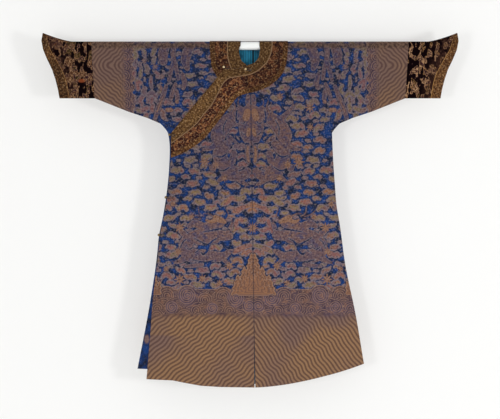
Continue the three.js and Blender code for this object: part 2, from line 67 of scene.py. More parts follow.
def soft(low, high, at):
    # Smooth step: 3t^2 - 2t^3 of how far at lies from low to high
    t = np.clip((at - low) / (high - low), 0, 1)
    return t * t * (3 - 2 * t)


def lerp(low, high, share):
    # Straight blend from low to high
    return low + (high - low) * share


def straight(rows, at):
    # Straight lines between the rows of a table
    rows = np.array(rows, float)
    rows = rows[np.argsort(rows[:, 0])]
    return np.interp(at, rows[:, 0], rows[:, 1])


def smooth(rows, at):
    # Cubic curve through the rows of a table, level with their mean slopes
    rows = np.array(rows, float)
    rows = rows[np.argsort(rows[:, 0])]
    key, value = rows[:, 0], rows[:, 1]
    slope = np.gradient(value, key)
    at = np.clip(at, key[0], key[-1])
    i = np.clip(np.searchsorted(key, at) - 1, 0, len(key) - 2)
    gap = key[i + 1] - key[i]
    t = (at - key[i]) / gap
    return ((2 * t**3 - 3 * t**2 + 1) * value[i] + (t**3 - 2 * t**2 + t) * gap * slope[i]
            + (3 * t**2 - 2 * t**3) * value[i + 1] + (t**3 - t**2) * gap * slope[i + 1])


def distanceTo(line, x, z):
    # Least distance from each spot to the straight stretches of a line, and the share of it passed there
    line = np.array(line, float)
    lengths = np.hypot(*np.diff(line, axis=0).T)
    passed = np.concatenate([[0], np.cumsum(lengths)]) / lengths.sum()
    best = np.full(np.shape(x), 1e9)
    along = np.zeros(np.shape(x))
    for i, (x0, z0) in enumerate(line[:-1]):
        dx, dz = line[i + 1] - line[i]
        t = np.clip(((x - x0) * dx + (z - z0) * dz) / (dx * dx + dz * dz), 0, 1)
        off = np.hypot(x - x0 - t * dx, z - z0 - t * dz)
        near = off < best
        best = np.where(near, off, best)
        along = np.where(near, lerp(passed[i], passed[i + 1], t), along)
    return best, along


def centreSeam(z):
    # The seam drifts sideways in proportion to the way down
    return robe["centreDrift"] * z / robe["hemCentre"]


def seamParting(z):
    # Half the seam's gap, which opens into the slit by a smooth step
    return robe["seamGap"] / 2 + robe["slitHalf"] * soft(robe["slitTop"], robe["hemCentre"], z)


# Large soft folds near the hem: side -1 is the front, x, top, width, rise of the ridge or fall of the trough
folds = [
    (-1, -318, -980, 42, -4), (-1, -235, -900, 58, 4), (-1, 150, -860, 62, 4), (-1, 300, -960, 52, -3.5),
    (1, -260, -880, 60, 4), (1, -60, -940, 56, -4), (1, 190, -900, 60, 4),
]
# Small creases: side, line, width and rise; they taper away at both ends
creases = [
    (-1, [(-330, -345), (-300, -300), (-255, -240)], 9, 1.1),
    (-1, [(-338, -330), (-330, -270), (-318, -190)], 8, -1.0),
    (-1, [(-360, -312), (-368, -250), (-372, -170)], 10, 0.9),
    (-1, [(322, -340), (292, -292), (240, -226)], 10, 1.2),
    (-1, [(334, -330), (326, -262), (310, -176)], 9, -1.1),
    (-1, [(352, -318), (362, -246), (366, -160)], 10, 1.0),
    (-1, [(-420, -288), (-436, -200), (-440, -120)], 16, 0.8),
    (-1, [(452, -276), (470, -190), (476, -100)], 18, -0.8),
    (-1, [(560, -236), (566, -170), (560, -80)], 14, 0.7),
    (-1, [(-560, -236), (-572, -150), (-568, -60)], 13, -0.7),
    (-1, [(-405, -1172), (-200, -1176), (8, -1171)], 4, -0.9),
    (-1, [(40, -1168), (230, -1173), (430, -1166)], 4, -0.8),
    (-1, [(-380, -905), (-170, -909), (4, -904)], 4, -0.5),
    (-1, [(30, -902), (200, -908), (380, -901)], 4, -0.5),
    (-1, [(-300, -560), (-296, -700), (-306, -860)], 20, 0.9),
    (-1, [(-150, -620), (-158, -800), (-150, -1000)], 26, -0.9),
    (-1, [(215, -520), (222, -700), (236, -880)], 24, 0.9),
    (-1, [(320, -640), (336, -800), (352, -960)], 16, -0.9),
    (-1, [(60, -430), (66, -600), (74, -760)], 28, 0.7),
    (-1, [(-392, -1180), (-398, -1270), (-404, -1350)], 14, 1.5),
    (-1, [(-352, -1150), (-356, -1250), (-352, -1350)], 12, -1.2),
    (-1, [(406, -1130), (420, -1210), (430, -1290)], 15, 1.4),
    (-1, [(90, -1240), (84, -1310), (86, -1376)], 16, 1.0),
    (-1, [(232, -1190), (226, -1270), (228, -1345)], 15, -1.1),
    (-1, [(-110, -1230), (-104, -1300), (-108, -1374)], 17, -1.0),
    (1, [(-330, -345), (-296, -290), (-230, -220)], 11, 1.2),
    (1, [(330, -345), (300, -280), (244, -214)], 11, 1.2),
    (1, [(342, -326), (352, -250), (350, -150)], 10, -1.0),
    (1, [(-342, -326), (-350, -240), (-346, -150)], 10, -1.0),
    (1, [(-360, -1172), (-120, -1178), (120, -1174), (390, -1168)], 4, -0.9),
    (1, [(-140, -200), (-150, -420), (-132, -700)], 30, 1.0),
    (1, [(70, -260), (84, -480), (66, -760)], 28, -0.9),
    (1, [(260, -420), (268, -640), (290, -900)], 24, 1.0),
    (1, [(-330, -700), (-344, -900), (-362, -1100)], 18, -1.0),
    (1, [(380, -1100), (398, -1200), (410, -1290)], 15, 1.4),
    (1, [(20, -1190), (14, -1280), (16, -1372)], 16, 1.1),
    (1, [(-460, -270), (-474, -190), (-470, -90)], 16, 0.9),
    (1, [(500, -256), (512, -170), (506, -80)], 16, -0.9),
]


def halfDepth(x, z, side):
    # Middle plane to the inside of the wall: a parabola from the seam to full depth, plus folds and creases
    at = np.abs(x)
    seams = [distanceTo(sleeveEdge[::-1] + [(reach, low) for low, reach in edge[1:]], at, z)[0]
             for edge in (leftSide, rightSide)]
    toSeam = np.where(x > 0, *seams)
    atSeam = lerp(robe["seamHalf"], robe["ventHalf"], soft(robe["ventTop"], robe["hemCentre"], z))
    full = (robe["lapRadius"] + robe["bodyRoom"] * soft(-80, -520, z)
            + robe["hemRoom"] * soft(-700, robe["hemCentre"], z))
    rise = 1 - (1 - np.clip(toSeam / robe["sleeveRun"], 0, 1)) ** 2
    for onSide, middle, top, width, ridge in folds:
        near = np.exp(-(((x - middle) / width) ** 2))
        full = full + (side == onSide) * ridge * near * soft(top, robe["hemCentre"], z)
    small = 0
    for onSide, line, width, ridge in creases:
        off, along = distanceTo(line, x, z)
        small = small + (side == onSide) * ridge * np.exp(-((off / width) ** 2)) * np.sin(np.pi * along)
    return atSeam + (full - atSeam) * rise + small * np.minimum(rise * 2.5, 1)


def leftLift(x, z):
    # The left front and the collar rise towards the centre to be level with the overlap
    return robe["frontLift"] * (1 - soft(20, 150, x)) * (1 - soft(-70, -15, z))


def place(x, q, level):
    # Flat spot to space: q below 0 is the front's height, then the run over the rod, then down the back
    z = np.where(q < 0, q, lapRun - np.maximum(q, lapRun))
    side = np.where(q > lapRun, 1, -1)
    y = side * (halfDepth(x, z, side) + level)
    turn = q / robe["lapRadius"]
    onRod = (q >= 0) & (q <= lapRun)
    radius = robe["lapRadius"] + level
    return np.stack([x, np.where(onRod, -radius * np.cos(turn), y),
                     np.where(onRod, radius * np.sin(turn), z)], axis=-1) * mm


def closedShell(outer, inner, cells):
    # Closed wall of a fine outer grid, an inner grid of every second spot, and five-sided rim faces
    rows, cols = outer.shape[:2]
    number = np.arange(rows * cols).reshape(rows, cols)
    inward = rows * cols + np.arange(inner.shape[0] * inner.shape[1]).reshape(inner.shape[:2])
    r, c = np.nonzero(cells)
    quads = np.stack([number[r, c], number[r, c + 1], number[r + 1, c + 1], number[r + 1, c]], 1)
    blocks = cells[::2, ::2] & cells[1::2, ::2] & cells[::2, 1::2] & cells[1::2, 1::2]
    r, c = np.nonzero(blocks)
    lining = np.stack([inward[r, c], inward[r + 1, c], inward[r + 1, c + 1], inward[r, c + 1]], 1)
    padded = np.pad(blocks, 1)
    rims = []
    for beyond, steps, ends in (
        (padded[:-2, 1:-1], ((0, 2), (0, 1), (0, 0)), ((0, 0), (0, 1))),
        (padded[1:-1, 2:], ((2, 2), (1, 2), (0, 2)), ((0, 1), (1, 1))),
        (padded[2:, 1:-1], ((2, 0), (2, 1), (2, 2)), ((1, 1), (1, 0))),
        (padded[1:-1, :-2], ((0, 0), (1, 0), (2, 0)), ((1, 0), (0, 0))),
    ):
        r, c = np.nonzero(blocks & ~beyond)
        rims.append(np.stack([number[2 * r + dr, 2 * c + dc] for dr, dc in steps]
                             + [inward[r + dr, c + dc] for dr, dc in ends], 1))
    points = np.concatenate([outer.reshape(-1, 3), inner.reshape(-1, 3)])
    return points, [quads, np.concatenate(rims), lining]


def volumeOf(points, groups):
    # Sum of the signed pyramids from the origin to each fan triangle of the faces
    total = 0
    for faces in groups:
        first = points[faces[:, 0]]
        for i in range(1, faces.shape[1] - 1):
            total += (first * np.cross(points[faces[:, i]], points[faces[:, i + 1]])).sum()
    return total


def newObject(name, data):
    made = bpy.data.objects.new(name, data)
    bpy.context.scene.collection.objects.link(made)
    return made


def makePiece(name, points, groups, materials, slots, fields):
    # Mesh of face groups with their own counts of corners and materials, and a value per spot in each field
    if volumeOf(points, groups) < 0:
        groups = [faces[:, ::-1] for faces in groups]
    used = np.unique(np.concatenate([faces.ravel() for faces in groups]))
    renumber = np.zeros(len(points), np.int64)
    renumber[used] = np.arange(len(used))
    corners = np.concatenate([renumber[faces].ravel() for faces in groups])
    sizes = np.concatenate([np.full(len(faces), faces.shape[1]) for faces in groups])
    mesh = bpy.data.meshes.new(name)
    mesh.vertices.add(len(used))
    mesh.vertices.foreach_set("co", points[used].astype(np.float32).ravel())
    mesh.loops.add(len(corners))
    mesh.loops.foreach_set("vertex_index", corners.astype(np.int32))
    mesh.polygons.add(len(sizes))
    mesh.polygons.foreach_set("loop_start", np.concatenate([[0], np.cumsum(sizes)[:-1]]).astype(np.int32))
    mesh.update(calc_edges=True)
    for material in materials:
        mesh.materials.append(material)
    which = np.concatenate([np.full(len(faces), one) for faces, one in zip(groups, slots)])
    mesh.polygons.foreach_set("material_index", which.astype(np.int32))
    mesh.polygons.foreach_set("use_smooth", np.ones(len(sizes), bool))
    mesh.set_sharp_from_angle(angle=np.radians(sharpAngle))
    for field, values in fields.items():
        values = np.asarray(values, np.float32)
        kind, key = ("FLOAT", "value") if values.ndim == 1 else ("FLOAT_VECTOR", "vector")
        mesh.attributes.new(field, kind, "POINT").data.foreach_set(key, values[used].ravel())
    if mesh.validate(verbose=True):
        print("mended mesh", name)
    piece = newObject(name, mesh)
    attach(piece, "root")
    print(name, len(used), "points,", int((sizes - 2).sum()), "triangles")
    return piece


def clothPiece(name, x, q, cells, lift, materials, fieldsOf, puff=0):
    # Cloth wall over a grid of flat spots; its fields are read at each outer and inner spot
    base = lift if np.ndim(lift) else np.full(x.shape, float(lift))
    outer = place(x, q, base + robe["wall"] + puff)
    inner = place(x[::2, ::2], q[::2, ::2], base[::2, ::2])
    points, groups = closedShell(outer, inner, cells)
    fields = {}
    for field, values in fieldsOf(x, q).items():
        last = values.shape[2:]
        fields[field] = np.concatenate([values.reshape(-1, *last), values[::2, ::2].reshape(-1, *last)])
    return makePiece(name, points, groups, materials, (0, 0, 1), fields)


# Materials: a node is added with its settings and inputs, and a link where an input is another's output
def shade(red, green, blue):
    # Screen colour, 0 to 255, as the light it stands for
    c = np.array([red, green, blue]) / 255
    return (*np.where(c <= 0.04045, c / 12.92, ((c + 0.055) / 1.055) ** 2.4), 1.0)


class Nodes:
    def __init__(self, name):
        self.material = bpy.data.materials.new(name)
        self.material.use_nodes = True
        self.tree = self.material.node_tree
        self.shader = self.tree.nodes["Principled BSDF"]

    def add(self, kind, settings=None, inputs=None, output=0):
        node = self.tree.nodes.new("ShaderNode" + kind)
        for name, value in (settings or {}).items():
            setattr(node, name, value)
        for key, value in (inputs or {}).items():
            if isinstance(value, bpy.types.NodeSocket):
                self.tree.links.new(value, node.inputs[key])
            else:
                node.inputs[key].default_value = value
        return node.outputs[output]

    def field(self, name):
        return self.add("Attribute", {"attribute_name": name}, output="Fac")

    def vector(self, name):
        return self.add("Attribute", {"attribute_name": name}, output="Vector")

    def math(self, kind, one, two=0.0):
        return self.add("Math", {"operation": kind}, {0: one, 1: two})

    def step(self, value, low, high, first=0.0, last=1.0):
        return self.add("MapRange", {"interpolation_type": "SMOOTHSTEP"},
                        {0: value, 1: low, 2: high, 3: first, 4: last})

    def mix(self, factor, one, two):
        return self.add("Mix", {"data_type": "RGBA", "blend_type": "MIX"}, {0: factor, 6: one, 7: two}, 2)

    def noise(self, vector, scale, detail=2.0, roughness=0.5):
        return self.add("TexNoise", None, {"Vector": vector, "Scale": scale, "Detail": detail,
                                           "Roughness": roughness}, "Fac")

    def cells(self, vector, scale, output="Distance"):
        return self.add("TexVoronoi", {"feature": "F1"}, {"Vector": vector, "Scale": scale}, output)

    def layers(self, colour, *rows):
        # Each row lays its colour over the ones before, by a smooth step of a value: low, high, first, last
        for top, *step in rows:
            colour = self.mix(self.step(*step), colour, top)
        return colour

    def objectSpot(self):
        return self.add("TexCoord", None, None, "Object")

    def weave(self, vector, scale, turn=0.0):
        # Two crossing waves of threads
        turned = self.add("Mapping", None, {"Vector": vector, "Rotation": (0, 0, turn)})
        pair = [self.add("TexWave", {"wave_type": "BANDS", "bands_direction": way}, {
            "Vector": turned, "Scale": scale, "Distortion": 0.6, "Detail": 1.0, "Detail Scale": 2.0}, "Fac")
            for way in ("X", "Y")]
        return self.math("MULTIPLY", *pair)

    def bump(self, height, strength, distance):
        # A last bump over the ones before it
        node = self.tree.nodes.new("ShaderNodeBump")
        node.inputs["Strength"].default_value = strength
        node.inputs["Distance"].default_value = distance
        self.tree.links.new(height, node.inputs["Height"])
        before = self.shader.inputs["Normal"]
        if before.is_linked:
            self.tree.links.new(before.links[0].from_socket, node.inputs["Normal"])
        self.tree.links.new(node.outputs[0], before)

    def finish(self, colour, roughness, **fixed):
        self.tree.links.new(colour, self.shader.inputs["Base Color"])
        if isinstance(roughness, bpy.types.NodeSocket):
            self.tree.links.new(roughness, self.shader.inputs["Roughness"])
        else:
            self.shader.inputs["Roughness"].default_value = roughness
        for name, value in fixed.items():
            self.shader.inputs[name].default_value = value
        return self.material


silkColours = {
    "navy": shade(20, 28, 50), "blue": shade(24, 58, 116), "rim": shade(112, 98, 106),
    "cloud": shade(126, 88, 70), "cloudLight": shade(146, 100, 70), "plum": shade(94, 76, 88),
    "scale": shade(122, 90, 78), "gold": shade(146, 106, 76), "hill": shade(132, 94, 72),
    "sea": shade(92, 68, 62), "seaPlum": shade(80, 64, 76), "seaDark": shade(64, 48, 58),
    "crest": shade(138, 108, 92),
    "stripeDark": shade(99, 72, 57), "stripeGold": shade(144, 110, 79), "stripePlum": shade(122, 96, 84),
    "foldHighlightBase": shade(80, 60, 52), "foldHighlightDark": shade(34, 24, 22), "foldHighlightLight": shade(122, 96, 78),
    "olive": shade(122, 106, 78), "rose": shade(130, 82, 80), "shadowBlue": shade(60, 60, 92),
    "paleSpeck": shade(164, 148, 136), "darkSpeck": shade(16, 12, 20), "paintedShade": shade(6, 6, 14),
}


def silkMaterial():
    n, c = Nodes("figuredSilk"), silkColours
    flat = n.vector("flat")
    wide, middle, small = n.noise(flat, 7.0, 2.0), n.noise(flat, 30.0, 3.0), n.noise(flat, 210.0, 2.0)
    cloud, dragon, gold, hill = (n.field(name) for name in ("cloud", "dragon", "gold", "hill"))
    sea, deep, arc, phase = (n.field(name) for name in ("sea", "deep", "arc", "phase"))
    tone, swirl, seam = (n.field(name) for name in ("tone", "swirl", "seam"))
    golden = n.step(n.math("ADD", tone, n.math("MULTIPLY", n.math("SUBTRACT", wide, 0.5), 1.1)), 0.1, 0.8)
    threads = n.weave(flat, 320.0)

    def figure(under, field, edge, fill, rim=2.4, core=1.0):
        # Painted shade as a dark ring just outside a figure, then its pale rim and fill, by how far inside it
        # lies
        return n.layers(under, (c["navy"], field, -rim - 3.4, -rim - 0.4, 0.0, 0.8),
                        (edge, field, -rim - 0.6, -rim + 1.2), (fill, field, core - 1.6, core + 1.2))

    def ripples(field, sway, rate):
        # Sine of a field that the middle noise sways
        swayed = n.math("ADD", field, n.math("MULTIPLY", middle, sway))
        return n.math("SINE", n.math("MULTIPLY", swayed, rate))

    # Clouds and hills over the blue ground
    colour = n.layers(c["navy"], (c["blue"], middle, 0.34, 0.64))
    tint = n.cells(flat, 25.0, "Color")
    cloudFill = n.mix(golden, c["plum"], n.layers(c["cloud"], (c["cloudLight"], middle, 0.4, 0.62)))
    cloudFill = n.layers(
        cloudFill, (c["olive"], tint, 0.52, 0.62, 0.0, 0.7), (c["rose"], tint, 0.3, 0.4, 0.6, 0.0),
        (c["rim"], ripples(cloud, 9.0, 1.1), 0.3, 0.95, 0.0, 0.55))
    colour = figure(colour, cloud, c["rim"], cloudFill, 2.4, 2.0)
    hillLines = ripples(hill, 14.0, 0.55)
    hillFill = n.layers(c["hill"], (c["sea"], hillLines, 0.0, 0.9, 0.0, 0.6),
                        (c["cloudLight"], n.math("MULTIPLY", hillLines, -1.0), 0.6, 1.0, 0.0, 0.6))
    colour = figure(colour, hill, c["crest"], hillFill)
    # Dragons with scales and a spine line, and the gold figures
    scales = n.cells(n.add("Mapping", None, {"Vector": flat, "Scale": (1.0, 1.5, 1.0)}), 120.0)
    mottled = n.step(n.noise(flat, 55.0, 3.0, 0.6), 0.36, 0.64)
    spine = n.math("ABSOLUTE", n.math("SUBTRACT", dragon, 8.5))
    body = n.mix(n.math("MULTIPLY", n.math("ADD", golden, mottled), 0.5), c["plum"], c["scale"])
    body = n.layers(
        body, (c["seaPlum"], scales, 0.35, 0.75, 0.0, 0.6), (c["rim"], scales, 0.0, 0.3, 0.5, 0.0),
        (c["shadowBlue"], n.noise(flat, 36.0, 2.0, 0.6), 0.5, 0.64, 0.0, 0.7),
        (c["seaPlum"], spine, 0.5, 2.4, 0.5, 0.0))
    colour = figure(colour, dragon, c["rim"], body, 1.6)
    goldFill = n.layers(c["gold"], (c["scale"], n.cells(flat, 190.0), 0.3, 0.6, 0.0, 0.6),
                        (c["rim"], tone, 0.0, 0.5, 0.6, 0.0))
    colour = n.layers(colour, (c["seaPlum"], gold, -2.4, -0.8, 0.0, 0.6),
                      (goldFill, gold, -0.8, 2.6, 0.0, 0.85))
    # Sea with its crests, and the hills that stand in it
    arcs = n.math("SINE", n.math("MULTIPLY", arc, 0.74))
    foam = n.noise(flat, 46.0, 2.0, 0.6)
    water = n.layers(c["seaPlum"], (c["sea"], golden, 0.0, 0.8), (c["plum"], swirl, -1.0, 1.0, 0.0, 0.75),
                     (c["seaDark"], foam, 0.48, 0.62, 0.0, 0.75), (c["cloud"], foam, 0.34, 0.46, 0.6, 0.0),
                     (c["crest"], arcs, 0.3, 0.95, 0.0, 0.9))
    colour = n.layers(colour, (c["crest"], sea, -3.6, -1.2), (water, sea, -1.0, 0.6))
    colour = figure(colour, n.math("MINIMUM", hill, n.math("SUBTRACT", 22.0, sea)), c["crest"], hillFill)
    # Stripes below the sea
    share = n.math("FRACT", n.math("ADD", phase, n.math("MULTIPLY", small, 0.16)))
    light = n.mix(golden, c["stripePlum"], c["stripeGold"])
    dark = n.mix(golden, c["sea"], c["stripeDark"])
    bands = n.layers(dark, (light, n.math("PINGPONG", share, 0.5), 0.12, 0.36))
    colour = n.layers(colour, (bands, deep, -20.0, 12.0))
    # Specks, threads, a painted highlight on the fold over the rod, the centre seam and painted shade over
    # the upper part
    speck = n.noise(flat, 135.0, 2.0, 0.6)
    calm = n.math("MULTIPLY", n.step(sea, -4.0, 4.0, 1.0, 0.4), n.step(cloud, -39.0, -28.0, 0.3, 1.0))
    colour = n.mix(n.math("MULTIPLY", calm, n.step(speck, 0.5, 0.76, 0.0, 0.42)), colour, c["paleSpeck"])
    colour = n.mix(n.math("MULTIPLY", calm, n.step(speck, 0.24, 0.5, 0.86, 0.0)), colour, c["darkSpeck"])
    level = n.math("SUBTRACT", n.math("ABSOLUTE", n.field("top")), n.math("MULTIPLY", middle, 10.0))
    # Painted highlight: a mottled brown band on the fold over the rod
    foldHighlight = n.layers(c["foldHighlightDark"], (c["foldHighlightLight"], n.noise(flat, 100.0, 2.0, 0.7), 0.4, 0.6))
    foldHighlight = n.mix(0.7, c["foldHighlightBase"], foldHighlight)
    colour = n.layers(colour, (c["navy"], threads, 0.0, 0.6, 0.12, 0.0), (foldHighlight, level, -2.0, 13.0, 0.8, 0.0),
                      (c["navy"], seam, 0.6, 3.4, 0.55, 0.0))
    # Painted shade over the upper part, the shoulders and the under-flap
    colour = n.mix(n.math("SUBTRACT", 1.0, n.field("fade")), colour, c["paintedShade"])
    raised = n.math("ADD", n.step(cloud, -2.0, 1.5), n.math("ADD", n.step(dragon, -2.0, 1.5),
                                                         n.step(gold, -1.5, 1.5)))
    n.bump(raised, 0.3, 0.0005)
    n.bump(threads, 0.25, 0.0003)
    n.bump(small, 0.2, 0.0006)
    rough = n.step(middle, 0.2, 0.8, 0.62, 0.76)
    return n.finish(colour, rough, **{"Sheen Weight": 0.02, "Sheen Roughness": 0.4,
                                      "Specular IOR Level": 0.07})


def brocadeMaterial(name, ground, figureColour, highlight, scale, share, patches=0.0):
    # Small figures scattered over a ground, a fine twill and a little metal thread
    n = Nodes(name)
    flat, shine = n.vector("flat"), n.field("shine")
    bent = n.add("VectorMath", {"operation": "MULTIPLY_ADD"}, {
        0: n.add("TexNoise", None, {"Vector": flat, "Scale": scale * 0.9, "Detail": 2.0}, "Color"),
        1: (1.3 / scale, 1.3 / scale, 0), 2: flat})
    blobs, fine = n.cells(bent, scale), n.cells(bent, scale * 2.3)
    wide, patch, speck = n.noise(flat, 24.0, 2.0), n.noise(bent, 44.0, 0.0), n.noise(flat, 140.0, 2.0, 0.6)
    outline = n.math("ABSOLUTE", n.math("SUBTRACT", patch, 0.48))
    twill = n.weave(flat, 300.0, 0.6)
    colour = n.layers(
        figureColour, (ground, blobs, share, share + 0.14), (highlight, fine, 0.14, 0.3, 0.8, 0.0),
        (ground, wide, 0.4, 0.66, 0.0, 0.4), (shade(40, 12, 16), patch, 0.49, 0.54, 0.0, patches),
        (shade(148, 100, 58), outline, 0.01, 0.03, patches * 0.8, 0.0),
        (shade(204, 166, 122), speck, 0.52, 0.74, 0.0, 0.6), (shade(24, 8, 6), speck, 0.26, 0.52, 0.95, 0.0),
        # the twill, then painted shade where shine is low and a painted highlight where it is highest
        (shade(16, 10, 8), twill, 0.0, 0.5, 0.2, 0.0), (shade(20, 12, 6), shine, 0.0, 1.0, 0.5, 0.0),
        (shade(172, 128, 74), shine, 1.6, 2.6, 0.0, 0.75))
    n.bump(n.step(blobs, share - 0.1, share + 0.1, 1.0, 0.0), 0.4, 0.0006)
    n.bump(twill, 0.35, 0.0004)
    return n.finish(colour, n.step(fine, 0.1, 0.4, 0.55, 0.75), **{"Specular IOR Level": 0.06})


def cuffMaterial():
    # Black ground with curled gold outlines round brown and plum forms, muted towards the mouth
    n = Nodes("plumCuff")
    flat, share, shine = n.vector("flat"), n.field("share"), n.field("shine")
    drawn = n.add("Mapping", None, {"Vector": flat, "Scale": (1.5, 0.75, 1.0)})
    hue, edge = n.noise(flat, 34.0, 2.0), n.noise(drawn, 150.0, 2.0, 0.6)
    fuller = n.math("MULTIPLY", n.math("SUBTRACT", 1.0, shine), n.step(share, 0.04, 0.24, 0.0, 0.15))
    forms = n.math("ADD", n.noise(drawn, 42.0, 1.8, 0.5), fuller)
    inside = n.step(forms, 0.49, 0.54)
    fill = n.layers(
        shade(88, 52, 32), (shade(56, 32, 42), hue, 0.42, 0.5), (shade(66, 54, 28), hue, 0.53, 0.6),
        (shade(26, 12, 14), edge, 0.35, 0.65, 0.0, 0.75))
    colour = n.mix(inside, shade(10, 2, 4), fill)
    muted = n.math("MULTIPLY", n.step(share, 0.35, 0.8, 0.0, 0.6), n.step(hue, 0.4, 0.55))
    colour = n.mix(muted, colour, shade(66, 42, 34))
    rings = n.math("PINGPONG", n.math("MULTIPLY", forms, 9.0), 0.5)
    lines = n.math("MULTIPLY", n.step(rings, 0.08, 0.24, 1.0, 0.0), n.step(forms, 0.46, 0.5))
    lines = n.math("MULTIPLY", lines, shine)
    gold = n.layers(shade(176, 140, 106), (shade(138, 96, 64), hue, 0.35, 0.65))
    colour = n.mix(n.math("MULTIPLY", lines, n.step(share, 0.3, 0.9, 0.9, 0.4)), colour, gold)
    glints = n.math("MULTIPLY", inside, n.step(edge, 0.54, 0.7, 0.0, 0.5))
    colour = n.mix(glints, colour, shade(172, 136, 104))
    colour = n.layers(colour, (shade(6, 2, 3), edge, 0.3, 0.52, 0.85, 0.0),
                      (shade(128, 64, 36), n.field("ember"), 0.3, 0.8, 0.0, 0.75))
    n.bump(inside, 0.4, 0.0006)
    n.bump(n.weave(flat, 300.0, 0.6), 0.3, 0.0004)
    return n.finish(colour, 0.75, **{"Specular IOR Level": 0.02})


def liningMaterial():
    # Plain teal silk, with painted shade of soft upright folds and of a crease behind the neck opening
    n = Nodes("tealLining")
    spot = n.objectSpot()
    across = n.add("SeparateXYZ", None, {"Vector": spot}, "X")
    pleatShade = n.math("SINE", n.math("MULTIPLY", across, 640.0))
    creaseShade = n.math("ABSOLUTE", n.math("SUBTRACT", across, 0.0125))
    weave = n.weave(spot, 260.0)
    colour = n.layers(
        shade(12, 74, 100), (shade(30, 120, 152), n.noise(spot, 30.0, 2.0), 0.35, 0.65),
        # painted shade of the soft folds, then of the crease
        (shade(8, 52, 72), pleatShade, -0.2, 0.9, 0.0, 0.55),
        (shade(3, 16, 26), creaseShade, 0.002, 0.0048, 0.95, 0.0), (shade(4, 34, 50), weave, 0.0, 0.5, 0.2, 0.0))
    n.bump(weave, 0.2, 0.0003)
    return n.finish(colour, 0.6, **{"Specular IOR Level": 0.15})


def cordMaterial(name, dark, light):
    # Strands that twist along the cord
    n = Nodes(name)
    twist = n.add("TexWave", {"wave_type": "BANDS", "bands_direction": "DIAGONAL"}, {
        "Vector": n.objectSpot(), "Scale": 260.0, "Distortion": 1.0}, "Fac")
    n.bump(twist, 0.6, 0.0004)
    return n.finish(n.mix(twist, dark, light), 0.6, **{"Sheen Weight": 0.1})


def giltMaterial(name, bright, dull):
    # Metal that is worn dull and rough in spots
    n = Nodes(name)
    worn = n.noise(n.objectSpot(), 420.0, 3.0)
    n.bump(worn, 0.2, 0.0003)
    return n.finish(n.layers(bright, (dull, worn, 0.35, 0.7)), n.step(worn, 0.3, 0.7, 0.2, 0.4),
                    **{"Metallic": 1.0})


def paintMaterial():
    # White paint with faint streaks along the rod
    n = Nodes("whitePaint")
    grain = n.add("Mapping", None, {"Vector": n.objectSpot(), "Scale": (3.0, 60.0, 60.0)})
    streaks = n.noise(grain, 3.0, 3.0)
    n.bump(streaks, 0.15, 0.0004)
    return n.finish(n.layers(shade(226, 229, 229), (shade(240, 241, 240), streaks, 0.3, 0.7)),
                    n.step(streaks, 0.3, 0.7, 0.36, 0.5))


silk, lining = silkMaterial(), liningMaterial()
brocade = brocadeMaterial("goldBrocade", shade(88, 60, 34), shade(118, 86, 50), shade(150, 112, 66),
                          120.0, 0.34)
cord = cordMaterial("paleCord", shade(98, 69, 41), shade(136, 101, 62))
plum = brocadeMaterial("plumBand", shade(64, 28, 22), shade(122, 74, 48), shade(144, 98, 62), 76.0, 0.46, 0.8)
cuffSilk = cuffMaterial()
edging = brocadeMaterial("goldEdging", shade(78, 48, 28), shade(116, 78, 44), shade(158, 120, 72), 130.0, 0.4)
gilt, paint = giltMaterial("giltMetal", shade(240, 222, 182), shade(186, 152, 100)), paintMaterial()
# A darker gilt for the three side buttons
darkGilt = giltMaterial("darkGilt", shade(150, 126, 90), shade(84, 68, 48))
darkCord = cordMaterial("darkCord", shade(12, 12, 18), shade(44, 40, 44))
print("materials made")

# The woven pattern, in millimetres across from the centre seam and down from the shoulder, mirrored there.
# Strokes run through spots with their own half widths; a positive field lies inside a figure
pattern = {
    "seaTop": 985, "seaBottom": 1094, "stripePeriod": 15.3, "rightStripeTurn": 41,
    "leftStripeTurn": 54, "crestGap": 56,
    "sleeveSea": 487, "sleeveStripes": 516, "sleeveFold": 80, "sleeveStripePeriod": 13.7,
    "cloudLong": 31, "cloudTall": 15.5, "seed": 11, "outside": -40.0,
    "foldShadeTop": 1168, "sidePatch": (-417, -1186), "sidePatchRadius": 9, "underFlapTop": -330,
    "crestRows": 7, "crestTop": 1000, "crestDrop": 15, "crestEnd": 1082,
    "sleeveCrests": (476, 492, 508), "sleeveCrestGap": 38, "sleeveCrestRadius": 27,
}
chestBody = [
    [(0, 284, 44), (0, 330, 50), (0, 368, 36)],
    [(44, 258, 13), (72, 288, 22), (106, 318, 30), (132, 358, 30), (134, 386, 22)],
    [(96, 398, 16), (128, 432, 26), (116, 478, 28), (86, 512, 30), (44, 520, 26), (16, 508, 14)],
    [(62, 380, 13), (86, 372, 12)], [(70, 436, 11), (78, 466, 13)],
    [(138, 470, 12), (156, 500, 9), (168, 486, 5)], [(14, 408, 8), (17, 438, 9), (13, 470, 7)],
    [(122, 296, 11), (152, 268, 8), (170, 244, 5)], [(142, 400, 11), (168, 416, 8), (192, 420, 5)],
    [(60, 534, 12), (40, 552, 8), (22, 560, 5)], [(10, 206, 8), (12, 232, 9)],
    [(112, 530, 10), (134, 546, 6)],
]
chestGaps = [
    [(10, 398, 3), (46, 392, 4), (72, 366, 4), (92, 356, 2)], [(36, 408, 5), (44, 438, 9), (52, 470, 6)],
    [(56, 262, 2.4), (60, 296, 3), (53, 338, 3), (64, 352, 2)],
    [(98, 436, 2.4), (122, 450, 3.4), (146, 446, 2.4)], [(90, 492, 2), (116, 506, 3), (142, 498, 2.4)],
    [(30, 498, 2.4), (52, 506, 2)], [(4, 484, 4), (8, 492, 4)],
    [(98, 300, 1.6), (112, 330, 2), (110, 362, 1.6)], [(20, 300, 2), (30, 316, 2.2), (42, 312, 1.6)],
    [(8, 352, 1.8), (26, 360, 2.2), (40, 350, 1.6)],
]
